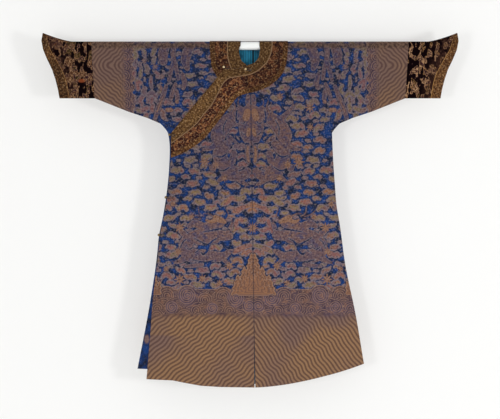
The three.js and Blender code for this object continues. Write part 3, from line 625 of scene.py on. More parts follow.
chestGold = [
    [(14, 268, 14), (20, 292, 15)], [(10, 340, 9), (14, 362, 8)],
    [(68, 294, 2.2), (74, 272, 2.6), (64, 250, 2.6), (70, 224, 1.8)],
    [(80, 290, 1.8), (86, 268, 2.2), (78, 250, 2), (84, 230, 1.4)],
    [(44, 250, 2), (52, 232, 1.8), (48, 214, 1.4)], [(14, 410, 5), (17, 438, 6), (13, 468, 5)],
    [(170, 244, 2), (184, 234, 1.4)], [(170, 244, 2), (168, 222, 1.4)], [(192, 420, 2), (208, 412, 1.4)],
    [(192, 420, 2), (206, 432, 1.4)], [(22, 560, 2), (10, 568, 1.4)], [(22, 560, 2), (30, 574, 1.4)],
]
lowBody = [
    [(96, 768, 16), (140, 766, 22), (196, 764, 26), (246, 776, 24), (272, 806, 26),
     (252, 844, 28), (196, 848, 24), (140, 852, 20), (106, 838, 13), (86, 828, 6)],
    [(150, 782, 16), (184, 786, 18), (222, 790, 14)], [(134, 716, 20), (166, 722, 18), (198, 738, 14)],
    [(198, 734, 16), (232, 718, 14), (256, 730, 8)], [(278, 760, 12), (296, 744, 8), (304, 732, 4)],
    [(104, 762, 12), (92, 744, 9), (84, 722, 6)], [(118, 862, 9), (104, 878, 6), (90, 886, 4)],
    [(268, 850, 14), (292, 868, 10), (312, 876, 5)], [(206, 884, 7), (242, 888, 7), (274, 892, 4)],
]
lowGaps = [
    [(144, 778, 2), (162, 788, 3), (181, 804, 4), (210, 792, 3), (238, 776, 2)],
    [(181, 804, 4), (184, 828, 4), (200, 842, 4), (210, 834, 2)],
    [(104, 818, 3), (122, 828, 5), (152, 826, 3)], [(160, 868, 2.4), (196, 874, 3), (250, 864, 2)],
    [(92, 744, 2), (112, 738, 3), (150, 744, 3), (200, 752, 2)],
    [(236, 812, 1.8), (256, 822, 2.4), (272, 812, 1.6)], [(214, 822, 1.6), (232, 836, 2)],
    [(268, 782, 1.6), (284, 796, 2), (292, 818, 1.6)],
]
lowGold = [
    [(148, 696, 13), (130, 704, 13), (112, 712, 8)], [(150, 706, 9), (170, 712, 8), (186, 704, 5)],
    [(158, 690, 3), (176, 680, 2.4), (196, 678, 1.8)], [(108, 704, 2), (96, 688, 2.2), (104, 662, 1.6)],
    [(196, 690, 2.2), (214, 676, 2), (218, 652, 1.6)], [(210, 690, 2.2), (232, 684, 2), (252, 668, 1.6)],
    [(206, 700, 2.2), (230, 700, 2), (250, 694, 1.6)], [(84, 722, 2), (72, 712, 1.6)],
    [(84, 722, 2), (82, 702, 1.6)], [(312, 876, 2), (326, 870, 1.4)], [(312, 876, 2), (324, 886, 1.4)],
]
shoulderBody = [
    [(238, -4, 15), (254, 30, 19), (262, 62, 16), (254, 92, 9)],
    [(338, -2, 15), (352, 34, 19), (350, 66, 14)],
    [(309, 6, 9), (311, 30, 9), (308, 58, 8), (298, 98, 7), (291, 134, 6)],
    [(308, 62, 7), (322, 108, 7), (329, 140, 6)], [(303, 156, 6), (312, 182, 8), (322, 214, 7)],
    [(299, 184, 6), (296, 214, 8)],
    [(341, 164, 6), (351, 196, 8), (364, 228, 9), (378, 262, 9), (388, 296, 6)],
    [(274, 118, 8), (266, 150, 9), (272, 172, 7)],
]
shoulderGold = [
    [(310, 14, 3), (311, 44, 3)], [(306, 166, 3), (316, 196, 3.4)],
    [(352, 202, 3), (366, 234, 3.6), (380, 268, 3.4)], [(298, 226, 8), (298, 228, 8)],
    [(322, 260, 9), (338, 260, 9)],
]
dragonBody = chestBody + lowBody + shoulderBody
longClouds = [
    [(0, 640, 12), (24, 650, 9), (44, 656, 11), (62, 666, 13), (74, 670, 9)],
    [(8, 806, 9), (30, 812, 10), (54, 822, 12), (76, 832, 10)],
    [(34, 612, 9), (54, 620, 12), (84, 616, 10), (104, 632, 13), (122, 640, 8)],
    [(62, 704, 8), (70, 728, 10), (80, 752, 8)],
]
flowers = [(294, 735, 22), (302, 832, 20), (96, 890, 20), (145, 482, 19), (190, 470, 24), (110, 536, 17),
           (206, 940, 19), (297, 944, 24), (135, 958, 17), (352, 902, 15), (118, 205, 17), (238, 330, 17),
           (384, 86, 15), (358, 126, 15), (428, 62, 14), (238, 250, 22), (248, 690, 14), (320, 640, 17)]
# Hills as across, top, half width at the foot and foot; the edge's are measured in from the side edge
peaks = [(6, 838, 32, 960), (36, 892, 26, 990), (62, 926, 26, 1002), (0, 920, 60, 1002)]
edgePeaks = [(3, 930, 16, 1000), (22, 952, 13, 1000)]
crests = [(72, 1020, 40, 1), (268, 1008, 40, 1), (122, 1012, 36, 0), (196, 1026, 34, 0), (350, 1010, 38, 0),
          (420, 1012, 36, 0), (18, 1050, 28, 1), (168, 1060, 28, 1), (330, 1056, 30, 1), (232, 1068, 26, 0),
          (390, 1062, 28, 0), (98, 1070, 28, 0)]  # across, down, radius, 1 where it turns as a spiral
sleeveForms = [
    [(401, 124, 6), (402, 148, 9), (399, 172, 7)], [(383, 206, 8), (398, 190, 10), (416, 204, 8)],
    [(398, 214, 9), (402, 232, 7)], [(386, 18, 11), (394, 38, 10)], [(441, 98, 7), (445, 126, 8)],
    [(442, 152, 8), (458, 142, 9), (454, 174, 9)], [(430, 6, 8), (462, 14, 10), (470, 22, 7)],
    [(438, 206, 9), (450, 224, 10)], [(420, 252, 9), (446, 262, 10), (462, 256, 7)],
    [(462, 64, 7), (466, 92, 6)],
]
cloudKinds = [
    [[(-17, 3, 7.6), (-8, -4, 9.6), (3, 1, 9), (12, -4, 9), (21, 3, 7)], [(0, 6, 6), (8, 8, 6)],
     [(22, 4, 4), (30, 0, 2.6), (31, -6, 1.6)]],
    [[(-14, -3, 9), (0, 4, 9.6), (13, -2, 9.4)], [(-2, -6, 6), (2, -6, 6)], [(-16, 2, 5), (-27, 6, 2)],
     [(16, 4, 5), (26, 9, 2)]],
    [[(-16, 6, 7.6), (-8, -4, 9), (6, -2, 9.6), (15, 6, 8)], [(16, 4, 5), (25, -2, 4), (24, -9, 2)]],
    [[(-11, 0, 9.6), (2, -5, 9)], [(8, 4, 9.4), (17, -1, 6)], [(-12, 4, 5), (-23, 8, 3), (-27, 3, 1.6)]],
    [[(-10, -2, 9), (0, 3, 10), (10, -2, 9)], [(12, 2, 4), (22, 7, 2)]],
    [[(-20, -2, 6), (-8, 2, 9), (6, -4, 8), (18, 3, 8)], [(-22, -2, 3.6), (-29, -8, 1.6)],
     [(0, 6, 5), (6, 9, 3)]],
]
# Round spots without clouds: across, down, radius
bareSpots = [(66, 236, 16), (70, 262, 14), (40, 222, 12), (318, 392, 20), (316, 352, 24), (330, 306, 22),
             (392, 296, 16), (0, 590, 12), (0, 618, 12)]
# Where the weft runs more gold, or with a share below 0 more plum: x, down, radius, share
goldPatches = [
    (-250, 1130, 130, 0.5), (-120, 1130, 80, 0.4), (330, 1200, 100, 0.45), (250, 1290, 110, 0.3),
    (-330, 1320, 100, 0.45), (-60, 1290, 110, 0.25), (90, 1180, 60, 0.2), (18, 290, 40, 0.5),
    (90, 330, 60, 0.35), (50, 470, 60, 0.3), (0, 960, 90, 0.4), (150, 715, 44, 0.4), (-150, 715, 44, 0.35),
    (100, 640, 110, 0.35), (-100, 640, 110, 0.35), (0, 900, 60, 0.4), (300, 960, 80, 0.25),
    (-280, 690, 110, 0.3), (290, 600, 120, 0.3), (-200, 560, 60, 0.2), (230, 430, 70, 0.25),
    (-60, 470, 80, -0.3), (-110, 330, 90, -0.25), (180, 770, 70, 0.15), (-150, 780, 80, 0.1),
    (300, 40, 180, -0.3), (-300, 40, 200, -0.25), (70, 1018, 46, -0.35), (-70, 1018, 46, -0.35),
    (268, 1004, 46, -0.35), (-268, 1004, 46, -0.35), (150, 1120, 80, -0.4), (330, 1110, 60, -0.35),
    (-250, 1030, 60, -0.2), (560, 70, 90, -0.22), (-560, 70, 90, -0.3),
]


def curved(path):
    # Even steps on a smooth curve through the path's spots, half widths with them
    path = np.array(path, float)
    if len(path) < 3:
        return path
    key = np.arange(len(path))
    at = np.linspace(0, len(path) - 1, 4 * (len(path) - 1) + 1)
    return np.stack([smooth(np.stack([key, path[:, k]], 1), at) for k in range(3)], 1)


def strokes(u, v, paths, field=None):
    # Half width less distance to the nearest stretch, at the spots near each path
    field = np.full(u.shape, pattern["outside"]) if field is None else field
    for path in paths:
        steps = curved(path)
        room = 30 + steps[:, 2].max()
        near = ((u > steps[:, 0].min() - room) & (u < steps[:, 0].max() + room)
                & (v > steps[:, 1].min() - room) & (v < steps[:, 1].max() + room))
        if not near.any():
            continue
        a, b, best = u[near], v[near], field[near]
        for (u0, v0, r0), (u1, v1, r1) in zip(steps[:-1], steps[1:]):
            du, dv = u1 - u0, v1 - v0
            t = np.clip(((a - u0) * du + (b - v0) * dv) / (du * du + dv * dv + 1e-9), 0, 1)
            best = np.maximum(best, lerp(r0, r1, t) - np.hypot(a - u0 - t * du, b - v0 - t * dv))
        field[near] = best
    return field


def blossoms(u, v, spots, field, petals=8):
    # Rosette: a radius that swings with the angle, less the distance to its middle
    for u0, v0, radius in spots:
        near = (np.abs(u - u0) < 50) & (np.abs(v - v0) < 50)
        a, b = u[near] - u0, v[near] - v0
        reach = radius * (0.68 + 0.34 * np.cos(petals * np.arctan2(b, a)))
        field[near] = np.maximum(field[near], reach - np.hypot(a, b))
    return field


def scattered(clear, spanU, spanV, longWay, tallWay, tries, seed, sizes=(1, 0.84, 0.68, 0.52, 0.42)):
    # Cloud places thrown at random, large first, each kept where it clears the figures and earlier clouds
    dice = np.random.default_rng(seed)
    kept = np.zeros((0, 3))
    out = []
    for size in sizes:
        spots = np.stack([dice.uniform(*spanU, tries), dice.uniform(*spanV, tries)], 1)
        free = clear(spots[:, 0], spots[:, 1]) < -0.8 * size * min(longWay, tallWay)
        for u0, v0 in spots[free]:
            reach = size + kept[:, 2]
            across, down = (kept[:, 0] - u0) / (longWay * reach), (kept[:, 1] - v0) / (tallWay * reach)
            if (np.hypot(across, down) > 1).all():
                kept = np.vstack([kept, (u0, v0, size)])
                kind, flip, turn = dice.integers(len(cloudKinds)), dice.choice([-1, 1]), dice.normal(0, 0.16)
                out.append((u0, v0, size, kind, flip, turn))
    return out


def cloudField(u, v, places, upright=False):
    # Each cloud's lobes and tails in its own turned and sized axes
    field = np.full(u.shape, pattern["outside"])
    for u0, v0, size, kind, flip, turn in places:
        near = (np.abs(u - u0) < 52) & (np.abs(v - v0) < 52)
        if not near.any():
            continue
        a, b = (u[near] - u0) / size, (v[near] - v0) / size
        if upright:
            a, b = b, a
        a, b = flip * (a * np.cos(turn) + b * np.sin(turn)), b * np.cos(turn) - a * np.sin(turn)
        field[near] = np.maximum(field[near], size * strokes(a, b, cloudKinds[kind]))
    return field


def sideReach(d):
    # Distance of the side edge from the middle, and far off at the sleeves
    return np.where(d < 352, 900, straight(leftSide, -d))


def dragonField(a, d):
    # Solid coils less the thin gaps between them
    body = strokes(a, d, dragonBody)
    return np.minimum(body, -1.5 - strokes(a, d, chestGaps + lowGaps))


def goldField(a, d):
    # Gold parts of the dragons, and the rosettes
    field = strokes(a, d, chestGold + lowGold + shoulderGold)
    return blossoms(a, d, [(0, 736, 25)], blossoms(a, d, flowers, field), 12)


def hillField(a, d):
    # Stepped peaks: each one's half width grows with the root of the way down from its top
    field = np.full(a.shape, pattern["outside"])
    for across, rows in ((a, peaks), (sideReach(d) - a, edgePeaks)):
        for middle, top, half, foot in rows:
            t = np.clip((d - top) / (foot - top), 0, 1)
            step = 2.6 * np.sin(d / 3.6) * (t > 0.1)
            inside = half * t**0.72 + step - np.abs(across - middle)
            above = -np.hypot(top - d, across - middle)
            field = np.maximum(field, np.where(d > top, np.minimum(inside, 1.5 * (foot + 6 - d)), above))
    return field


def seaField(a, d):
    # Water below a level, and the crest circles that stand out of it
    field = d - pattern["seaTop"]
    for middle, low, radius, _ in crests:
        field = np.maximum(field, radius - np.hypot(a - middle, d - low))
    return field


def everything(a, d):
    # The highest of the fields that clouds keep clear of
    fields = [strokes(a, d, dragonBody), goldField(a, d), hillField(a, d),
              strokes(a, d, longClouds + sleeveForms), seaField(a, d), a - pattern["sleeveSea"]]
    fields += [radius - np.hypot(a - u0, d - v0) for u0, v0, radius in bareSpots]
    return np.max(fields, axis=0)


bodyClouds = scattered(everything, (-4, 500), (-24, 1000), pattern["cloudLong"], pattern["cloudTall"], 2200,
                       pattern["seed"])
# The sleeve has its own clouds, which stand upright as it hangs
bodyClouds = [one for one in bodyClouds if one[0] < 342 or one[1] > 330]
sleeveClouds = scattered(everything, (350, 490), (-24, 330), pattern["cloudTall"], pattern["cloudLong"], 700,
                         pattern["seed"] + 1)
print("clouds placed", len(bodyClouds), len(sleeveClouds))


def figured(x, q, plain=None):
    # Fields of the silk at each flat spot
    fromSeam = x - np.where(q < 0, centreSeam(q), 0)
    shape, side = x.shape, np.sign(fromSeam).ravel()
    a, d = np.abs(fromSeam).ravel(), (np.abs(q - lapRun / 2) - lapRun / 2).ravel()
    onSleeve = (a > robe["junction"]) & (d < 340)
    cloud = np.maximum(cloudField(a, d, bodyClouds), cloudField(a, d, sleeveClouds, upright=True))
    cloud = strokes(a, d, longClouds + sleeveForms, cloud)
    shoulder = np.exp(-((a - 300) / 140) ** 4 - ((d - 90) / 110) ** 4)
    cloud -= 3.4 * shoulder  # slighter, greyer forms there
    # Stripes lie flatter on the wearer's right, and sway along their run
    turn = np.radians(np.where(side < 0, pattern["rightStripeTurn"], pattern["leftStripeTurn"]))
    along = a * np.cos(turn) + d * np.sin(turn)
    sway = 2.3 * np.sin(along / 9.6 + 1.3 * np.sin(a / 57 + d / 80)) + 2.0 * np.sin(along / 23 + d / 60)
    phase = (d * np.cos(turn) - a * np.sin(turn) + sway) / pattern["stripePeriod"]
    bent = np.abs(d - pattern["sleeveFold"])
    bent = np.sqrt(bent * bent + 90) - 3 * np.sin(a / 15)
    sleevePhase = a * 0.68 + bent * 0.73 + 1.7 * np.sin((a * 0.73 - bent * 0.68) / 6.2 + np.sin(a / 21))
    deep = d - pattern["seaBottom"] - 3 * np.sin(a / 9)
    # Wave crests in staggered rows, each arc lying over the row above, with circles and spirals on top
    arc = 0 * a
    swirl = np.full(a.shape, pattern["outside"])
    for row in range(pattern["crestRows"]):
        low, gap = pattern["crestTop"] + pattern["crestDrop"] * row, pattern["crestGap"]
        middle = gap * np.round((a - gap * (row % 2) / 2) / gap) + gap * (row % 2) / 2
        near = np.hypot(a - middle, 1.1 * (d - low))
        arc = np.where((near < 0.62 * gap) & (d < low + 2), near, arc)
    for middle, low, radius, turns in crests:
        near = np.hypot(a - middle, d - low)
        ring = near + (1.75 * np.arctan2(d - low, a - middle) if turns else 0)
        arc = np.where((near < radius) & (turns | (d < low + 6)), ring, arc)
        if turns:
            swirl = np.where(near < radius + 20, np.maximum(swirl, radius - 4 - near), swirl)
    arc = np.where(d > pattern["crestEnd"] + 5 * np.sin(a / 27), 0, arc)
    # The sleeve's crests stand in three columns, the middle one half a step lower, beside plain ripples
    sleeveArc = 400.0 + np.abs(a - 503)
    for low in range(-30, 330, pattern["sleeveCrestGap"]):
        for column, middle in enumerate(pattern["sleeveCrests"]):
            near = np.hypot(a - middle, d - low - pattern["sleeveCrestGap"] / 2 * (column == 1))
            sleeveArc = np.where((near < pattern["sleeveCrestRadius"]) & (a < middle + 3), near, sleeveArc)
    tone = 0.42 + 0 * a
    for x0, d0, radius, share in goldPatches:
        tone += share * np.exp(-((side * a - x0) ** 2 + (d - d0) ** 2) / (radius * radius))
    below = d - pattern["foldShadeTop"]  # painted shade just under a horizontal fold, on the wearer's right
    tone -= 0.42 * np.tanh(np.maximum(below, 0) / 4) * np.exp(-np.maximum(below, 0) / 90) * (side < 0)
    tone -= 0.3 * shoulder
    # Painted shade: darker over the upper part, on the shoulders and a little towards the cuffs
    fade = 1 - 0.16 * soft(690, 540, d) - 0.03 * soft(500, 540, a) - 0.06 * shoulder
    fields = {
        "cloud": cloud, "dragon": dragonField(a, d), "gold": goldField(a, d), "hill": hillField(a, d),
        "sea": np.where(onSleeve, a - pattern["sleeveSea"] + 12 - 5 * np.cos(d / 6), seaField(a, d)),
        "arc": np.where(onSleeve, sleeveArc, arc),
        "deep": np.where(onSleeve, a - pattern["sleeveStripes"] - 2 * np.sin(d / 8), deep),
        "phase": np.where(onSleeve, sleevePhase / pattern["sleeveStripePeriod"], phase),
        "swirl": np.where(onSleeve, pattern["outside"], swirl), "tone": tone, "fade": fade,
    }
    fields = {name: values.reshape(shape) for name, values in fields.items()}
    if plain is not None:
        # The under-flap is plain but for one small gold patch at the side, and painted shade darkens it under
        # the overlap
        for name in ("cloud", "dragon", "gold", "hill", "sea", "deep", "swirl"):
            fields[name] = np.where(plain, pattern["outside"], fields[name])
        x0, q0 = pattern["sidePatch"]
        patch = pattern["sidePatchRadius"] - np.hypot((x - x0) * 0.8, (q - q0) / 2)
        fields["gold"] = np.where(plain, patch, fields["gold"])
        fields["fade"] = np.where(plain, 0.93, fields["fade"])
    seam = np.minimum(np.abs(fromSeam), 60)
    fields["seam"] = np.where((q < -80) | (q > lapRun), seam, 60)
    fields["top"] = d.reshape(shape)
    fields["flat"] = np.stack([x, q, 0 * x], -1) * mm
    return fields


# Turns over the rod in degrees, closer where the neck opening ends
lapTurns = np.radians([0, 10, 20, 30, 40, 50, 60, 70, 80, 90, 95, 99, 102, 104, 105,
                       113, 121, 130, 140, 150, 160, 170, 180])


def neckOnLap(turn):
    # The opening keeps its width to the top of the rod and closes in a quarter ellipse just behind it
    t = np.clip((np.degrees(turn) - 90) / 15, 0, 1)
    return 38 * np.sqrt(1 - t * t)


def halfGrid(cut):
    # Flat grid of a half, from the front hem over the rod to the back hem, with the sleeve's columns outside
    across = np.linspace(0, 1, cut["body"] + 1)[None]
    sleeve = np.linspace(0, 1, cut["sleeve"] + 1)[None, 1:]
    top = lerp(robe["junction"], robe["cuffSeamTop"] - robe["seamGap"] / 2, sleeve)
    bottom = lerp(robe["junction"], robe["cuffSeamBottom"] - robe["seamGap"] / 2, sleeve)

    def sharesDown(side, part):
        return np.linspace(1, 0, cut[("front" if side < 0 else "back") + part] + 1)[:-1, None]

    def skirt(side):
        reach = lerp(cut["centre"](robe["hemCentre"], side), cut["side"](robe["hemCentre"]), across)
        z = lerp(robe["underarm"], cut["hem"](reach, side), sharesDown(side, "Skirt"))
        x = lerp(cut["centre"](z, side), cut["side"](z), across)
        pad = np.zeros((len(z), sleeve.shape[1]))
        return np.hstack([x, pad + x[:, -1:]]), np.hstack([z, pad + z[:, -1:]])

    def chest(side):
        down = sharesDown(side, "Chest")
        z = robe["underarm"] * down + 0 * across
        x = lerp(cut["centre"](z, side), robe["junction"], across)
        return (np.hstack([x, lerp(top, bottom, down)]),
                np.hstack([z, down * straight(sleeveEdge, bottom)]))

    def overRod():
        turn = lapTurns[:, None]
        x = lerp(np.maximum(neckOnLap(turn), robe["seamGap"] / 2), robe["junction"], across)
        return np.hstack([x, top + 0 * turn]), robe["lapRadius"] * (turn + 0 * np.hstack([across, sleeve]))

    parts = [skirt(-1), chest(-1), overRod()]
    parts += [(x[::-1], lapRun - z[::-1]) for x, z in (chest(1), skirt(1))]
    x, q = (np.vstack([part[k] for part in parts]) for k in range(2))
    wide = np.repeat([False, True, True, True, False], [len(part[0]) for part in parts])
    # The rows at the underarm belong to the chest; a skirt row has no sleeve
    cells = np.ones((x.shape[0] - 1, x.shape[1] - 1), bool)
    cells[:, cut["body"]:] = (wide[:-1] & wide[1:])[:, None]
    return cut["sign"] * x, q, cells


def leftHem(x, side):
    # The hem rises by a power of the share of the way to the side edge; the back's is a little higher
    run = np.clip((x - robe["centreDrift"]) / (leftSide[-1][1] - robe["centreDrift"]), 0, 1)
    backUp = robe["backHemUp"] if side > 0 else 0
    return robe["hemCentre"] + robe["hemRise"] * run**robe["hemPower"] + backUp


def rightHem(x, side):
    # Level on the under-flap, and on the back a rise by the same power
    if side < 0:
        return robe["flapHem"] + 0 * x
    return lerp(*robe["rightBackHem"], np.clip(x / rightSide[-1][1], 0, 1) ** robe["hemPower"])


def leftCentre(z, side):
    # The left half's inner edge: the seam on the back, and on the front the centre seam and the neck's curve
    if side > 0:
        return robe["seamGap"] / 2 + 0 * z
    neck = np.where(z > neckLeft[0][0], smooth(neckLeft, z), 0)
    return np.maximum(centreSeam(z) + seamParting(z), neck)


def rightCentre(z, side):
    # The right half's inner edge: the seam on the back, and on the front the flap's edge and the neck's curve
    if side > 0:
        return robe["seamGap"] / 2 + 0 * z
    return np.maximum(robe["flapEdge"], np.where(z > neckRight[0][0], smooth(neckRight, z), 0))


leftCut = {
    "sign": 1, "body": 104, "sleeve": 76, "frontSkirt": 224, "frontChest": 80, "backChest": 58,
    "backSkirt": 160, "centre": leftCentre, "side": lambda z: smooth(leftSide, z), "hem": leftHem,
}
rightCut = {
    "sign": -1, "body": 96, "sleeve": 76, "frontSkirt": 80, "frontChest": 80, "backChest": 64,
    "backSkirt": 186, "centre": rightCentre, "side": lambda z: smooth(rightSide, z), "hem": rightHem,
}
for name, node, cut, flat, area in (
    ("leftHalf", "left_half", leftCut, (0.64, 2.812), 1.18),
    ("rightHalf", "right_half", rightCut, (0.64, 2.76), 1.16),
):
    x, q, cells = halfGrid(cut)
    lift = leftLift(x, q) * (q < 0) if name == "leftHalf" else 0
    underFlap = (q < pattern["underFlapTop"]) & (name == "rightHalf")  # plain silk under the overlap
    piece = clothPiece(name, x, q, cells, lift, (silk, lining),
                       fieldsOf=lambda x, q: figured(x, q, underFlap))
    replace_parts(piece, node)
print("halves made")

# The overlap hangs from the diagonal edge under the collar to its own hem
overlap = {"across": 100, "down": 280, "top": -81.0}
across = np.linspace(0, 1, overlap["across"] + 1)[None]
down = np.linspace(0, 1, overlap["down"] + 1)[:, None]


def overlapReach(z, share):
    # Straight blend from the centre seam to the overlap's side edge
    return -lerp(seamParting(z) - centreSeam(z), smooth(overlapSide, z), share)


edgeTop = straight(overlapTop, overlapReach(overlap["top"] + 0 * across, across))
z = lerp(edgeTop, straight(overlapHem, -overlapReach(robe["hemCentre"] + 0 * across, across)), down)
cells = np.ones((overlap["down"], overlap["across"]), bool)
piece = clothPiece("frontOverlap", overlapReach(z, across), z, cells, robe["frontLift"], (silk, lining),
                   fieldsOf=figured)
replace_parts(piece, "front_overlap")
print("overlap made")

# Collar lines in step: inner edge, piping and outer edge, as x and flat run, from the underarm round the neck
collar = {"stations": 1600, "rows": 480, "lift": 1.9, "pipingHalf": 2, "edgingWidth": 20, "gap": 0.3,
          "edgeUnder": 0.6, "sideLimit": -600}
backTurns = np.radians(np.arange(0, 181, 20))
collarSteps = (
    [((-372, -416), (-372, -430), (-345, -462)),
     ((-322, -356.6), (-297, -379), (-270, -434)),
     ((-268, -292), (-224, -323), (-195, -386)),
     ((-234, -251.5), (-189, -281), (-148, -332)),
     ((-200, -211), (-155, -239), (-101, -271)),
     ((-168, -173), (-130, -194), (-76, -240)),
     ((-136, -134.6), (-106, -149), (-54, -212)),
     ((-117, -111), (-83, -131), (-36, -201)),
     ((-101, -94), (-65, -128), (-16, -196)),
     ((-48, -93), (-38, -123.5), (8, -189.5)),
     ((-12, -81), (-5, -118), (32, -183.5)),
     ((10, -73), (16, -110), (58, -174)),
     ((20, -68), (34, -100), (78, -163)),
     ((31, -54), (55, -81), (110, -138)),
     ((36, -42), (70, -64), (134, -109)),
     ((40, -15), (84, -30), (149, -58)),
     ((38.5, 1), (89, 0), (153, 0)),
     ((38, 13), (89, 13), (153, 13)), ((38, 22), (89, 26), (153, 26)), ((36, 28.6), (89, 39), (153, 39))]
    + [((33 * np.cos(turn), 30.4), (-1 + 90 * np.cos(turn), lapRun + 22 * np.sin(turn)),
        (-5 + 158 * np.cos(turn), lapRun + 84 * np.sin(turn))) for turn in backTurns]
    + [((-36, 28.6), (-91, 39), (-163, 39)), ((-38, 22), (-91, 26), (-163, 26)),
       ((-38, 13), (-91, 13), (-163, 13)), ((-38.5, 1), (-91, 0), (-163, 0)),
       ((-44, -15), (-91, -20), (-161, -28)), ((-42, -40), (-90, -44), (-159, -55)),
       ((-33, -62), (-84, -70), (-153, -91)), ((-22, -72), (-74, -97), (-136, -121)),
       ((-12, -81), (-66, -115), (-118, -150))]
)
collarSteps = np.array(collarSteps, float)  # stations, lines, x and run
fine = collar["stations"]
station = np.linspace(0, len(collarSteps) - 1, fine + 1)
numbers = np.arange(len(collarSteps))
lines = np.stack([np.stack([smooth(np.stack([numbers, collarSteps[:, k, axis]], 1), station)
                            for axis in (0, 1)], -1) for k in range(3)], 1)


def movedOut(line, distance):
    # A line moved sideways, away from the neck
    run = np.gradient(line, axis=0)
    run /= np.hypot(*run.T)[:, None]
    return line + distance * np.stack([run[:, 1], -run[:, 0]], 1)


def crossing(values):
    # Share of the way to the first change of sign of values along each column's stations
    change = (values[:-1] < 0) != (values[1:] < 0)
    at = change.argmax(0)
    col = np.arange(values.shape[1])
    before, after = values[at, col], values[at + 1, col]
    return np.where(change.any(0), (at + before / (before - after)) / (len(values) - 1), 0)


def collarGrid(near, far, rows, cols):
    # Grid between two lines, cut off at the robe's side edge and under the edge of the overlap
    w = np.linspace(0, 1, cols + 1)[None, :, None]
    whole = near[:, None] * (1 - w) + far[:, None] * w
    half = fine // 2
    side = -whole[:half, :, 0] - smooth(overlapSide, np.maximum(whole[:half, :, 1], collar["sideLimit"]))
    start = crossing(side) * (half - 1) / fine
    tail = whole[half:][::-1]
    under = tail[..., 1] - straight(overlapTop, tail[..., 0]) - collar["edgeUnder"]
    end = 1 - crossing(np.where(tail[..., 1] > 0, 1, under)) * half / fine
    end = np.where(under[0] < 0, end, 1)
    r = np.linspace(0, 1, rows + 1)[:, None]
    share = r + start * (1 - r) ** 5 - (1 - end) * r**5
    at = share * fine
    i = np.clip(at.astype(int), 0, fine - 1)
    t = (at - i)[..., None]
    col = np.arange(cols + 1)[None]
    spots = whole[i, col] * (1 - t) + whole[i + 1, col] * t
    return spots[..., 0], spots[..., 1]


def collarLift(x, q):
    # The collar lies on the overlap and the left front, and rises as they do
    onFront = (q < 0) & (np.arange(x.shape[0])[:, None] < x.shape[0] // 2)
    return collar["lift"] + np.where(onFront, leftLift(x, q), 0)


inner, piping, outer = lines[:, 0], lines[:, 1], lines[:, 2]
cordHalf, beside = collar["pipingHalf"], collar["pipingHalf"] + collar["gap"]
edgingIn, bandOut = collar["edgingWidth"], collar["edgingWidth"] + collar["gap"]
# Inner and outer line, columns, material, node, slot, and the flat size and area of a sheet
bands = {
    "collarBrocade": (inner, movedOut(piping, -beside), 18, brocade, "collar_brocade", "brocade",
                      (0.76, 0.07, 0.0365)),
    "collarPiping": (movedOut(piping, -cordHalf), movedOut(piping, cordHalf), 6, cord, "collar_piping",
                     "piping", None),
    "collarBand": (movedOut(piping, beside), movedOut(outer, -bandOut), 22, plum, "collar_band", "band",
                   (1.1, 0.06, 0.05)),
    "collarEdging": (movedOut(outer, -edgingIn), outer, 8, edging, "collar_edging", "edging",
                     (1.3, 0.022, 0.0257)),
}


def collarFields(x, q):
    # Painted shine: shade round the neck, light down the diagonal, and a painted highlight along the middle
    # of the strip
    diagonal = soft(-105, -150, q) * (x < -20)
    share = np.linspace(-1, 1, x.shape[1])[None]
    shine = lerp(0.35, 0.62 + 0.38 * np.exp(-(share / 0.55) ** 2), diagonal)
    return {"flat": np.stack([x, q, 0 * x], -1) * mm, "shine": shine}


for name, (near, far, cols, material, node, slot, cut) in bands.items():
    x, q = collarGrid(near, far, collar["rows"], cols)
    w = np.linspace(-1, 1, cols + 1)[None]
    puff = {"collarPiping": 1.3 * np.sqrt(np.clip(1 - w * w * 0.96, 0, 1)) - 0.4,
            "collarEdging": 0.25 * (1 - w**4), "collarBand": 0.2 * (1 - w**6),
            "collarBrocade": 0.25 * (1 - w**6)}[name] + 0 * x
    cells = np.ones((collar["rows"], cols), bool)
    piece = clothPiece(name, x, q, cells, collarLift(x, q), (material, lining), collarFields, puff)
    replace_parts(piece, node)
print("collar made")

# Cuffs: flat tubes whose tops rise to a tip past the rod's end and whose mouths slant
cuff = {
    "tipHeight": 53, "bottom": -212, "mouthLap": 8, "mouthSwell": 6, "riseFrom": 0.4, "risePower": 1.35,
    "rowsDown": 54, "rowsOver": 16, "columns": 36, "trimColumns": 10, "keepBack": 0.45,
}
cuffMouth = [(53, 838), (20, 843), (-16, 836), (-52, 821), (-98, 799), (-138, 786), (-175, 777), (-212, 771)]
trimLine = [(53, 827), (20, 815), (-7, 805), (-53, 777), (-103, 752), (-144, 740), (-212, 731)]
tipMiddle = cuff["tipHeight"] - cuff["mouthLap"] - robe["wall"]


def cuffRows(steps, turns):
    # Rows as how far down, the angle over the top, and the side: front up, over, back down
    up = np.linspace(1, 0, steps + 1)[:-1]
    angle = np.linspace(0, np.pi, turns + 1)
    downs = np.concatenate([up, 0 * angle, up[::-1]])[:, None]
    angles = np.concatenate([0 * up, angle, 0 * up + np.pi])[:, None]
    side = np.concatenate([0 * up - 1, 0 * angle, 0 * up + 1])[:, None]
    return downs, angles, side


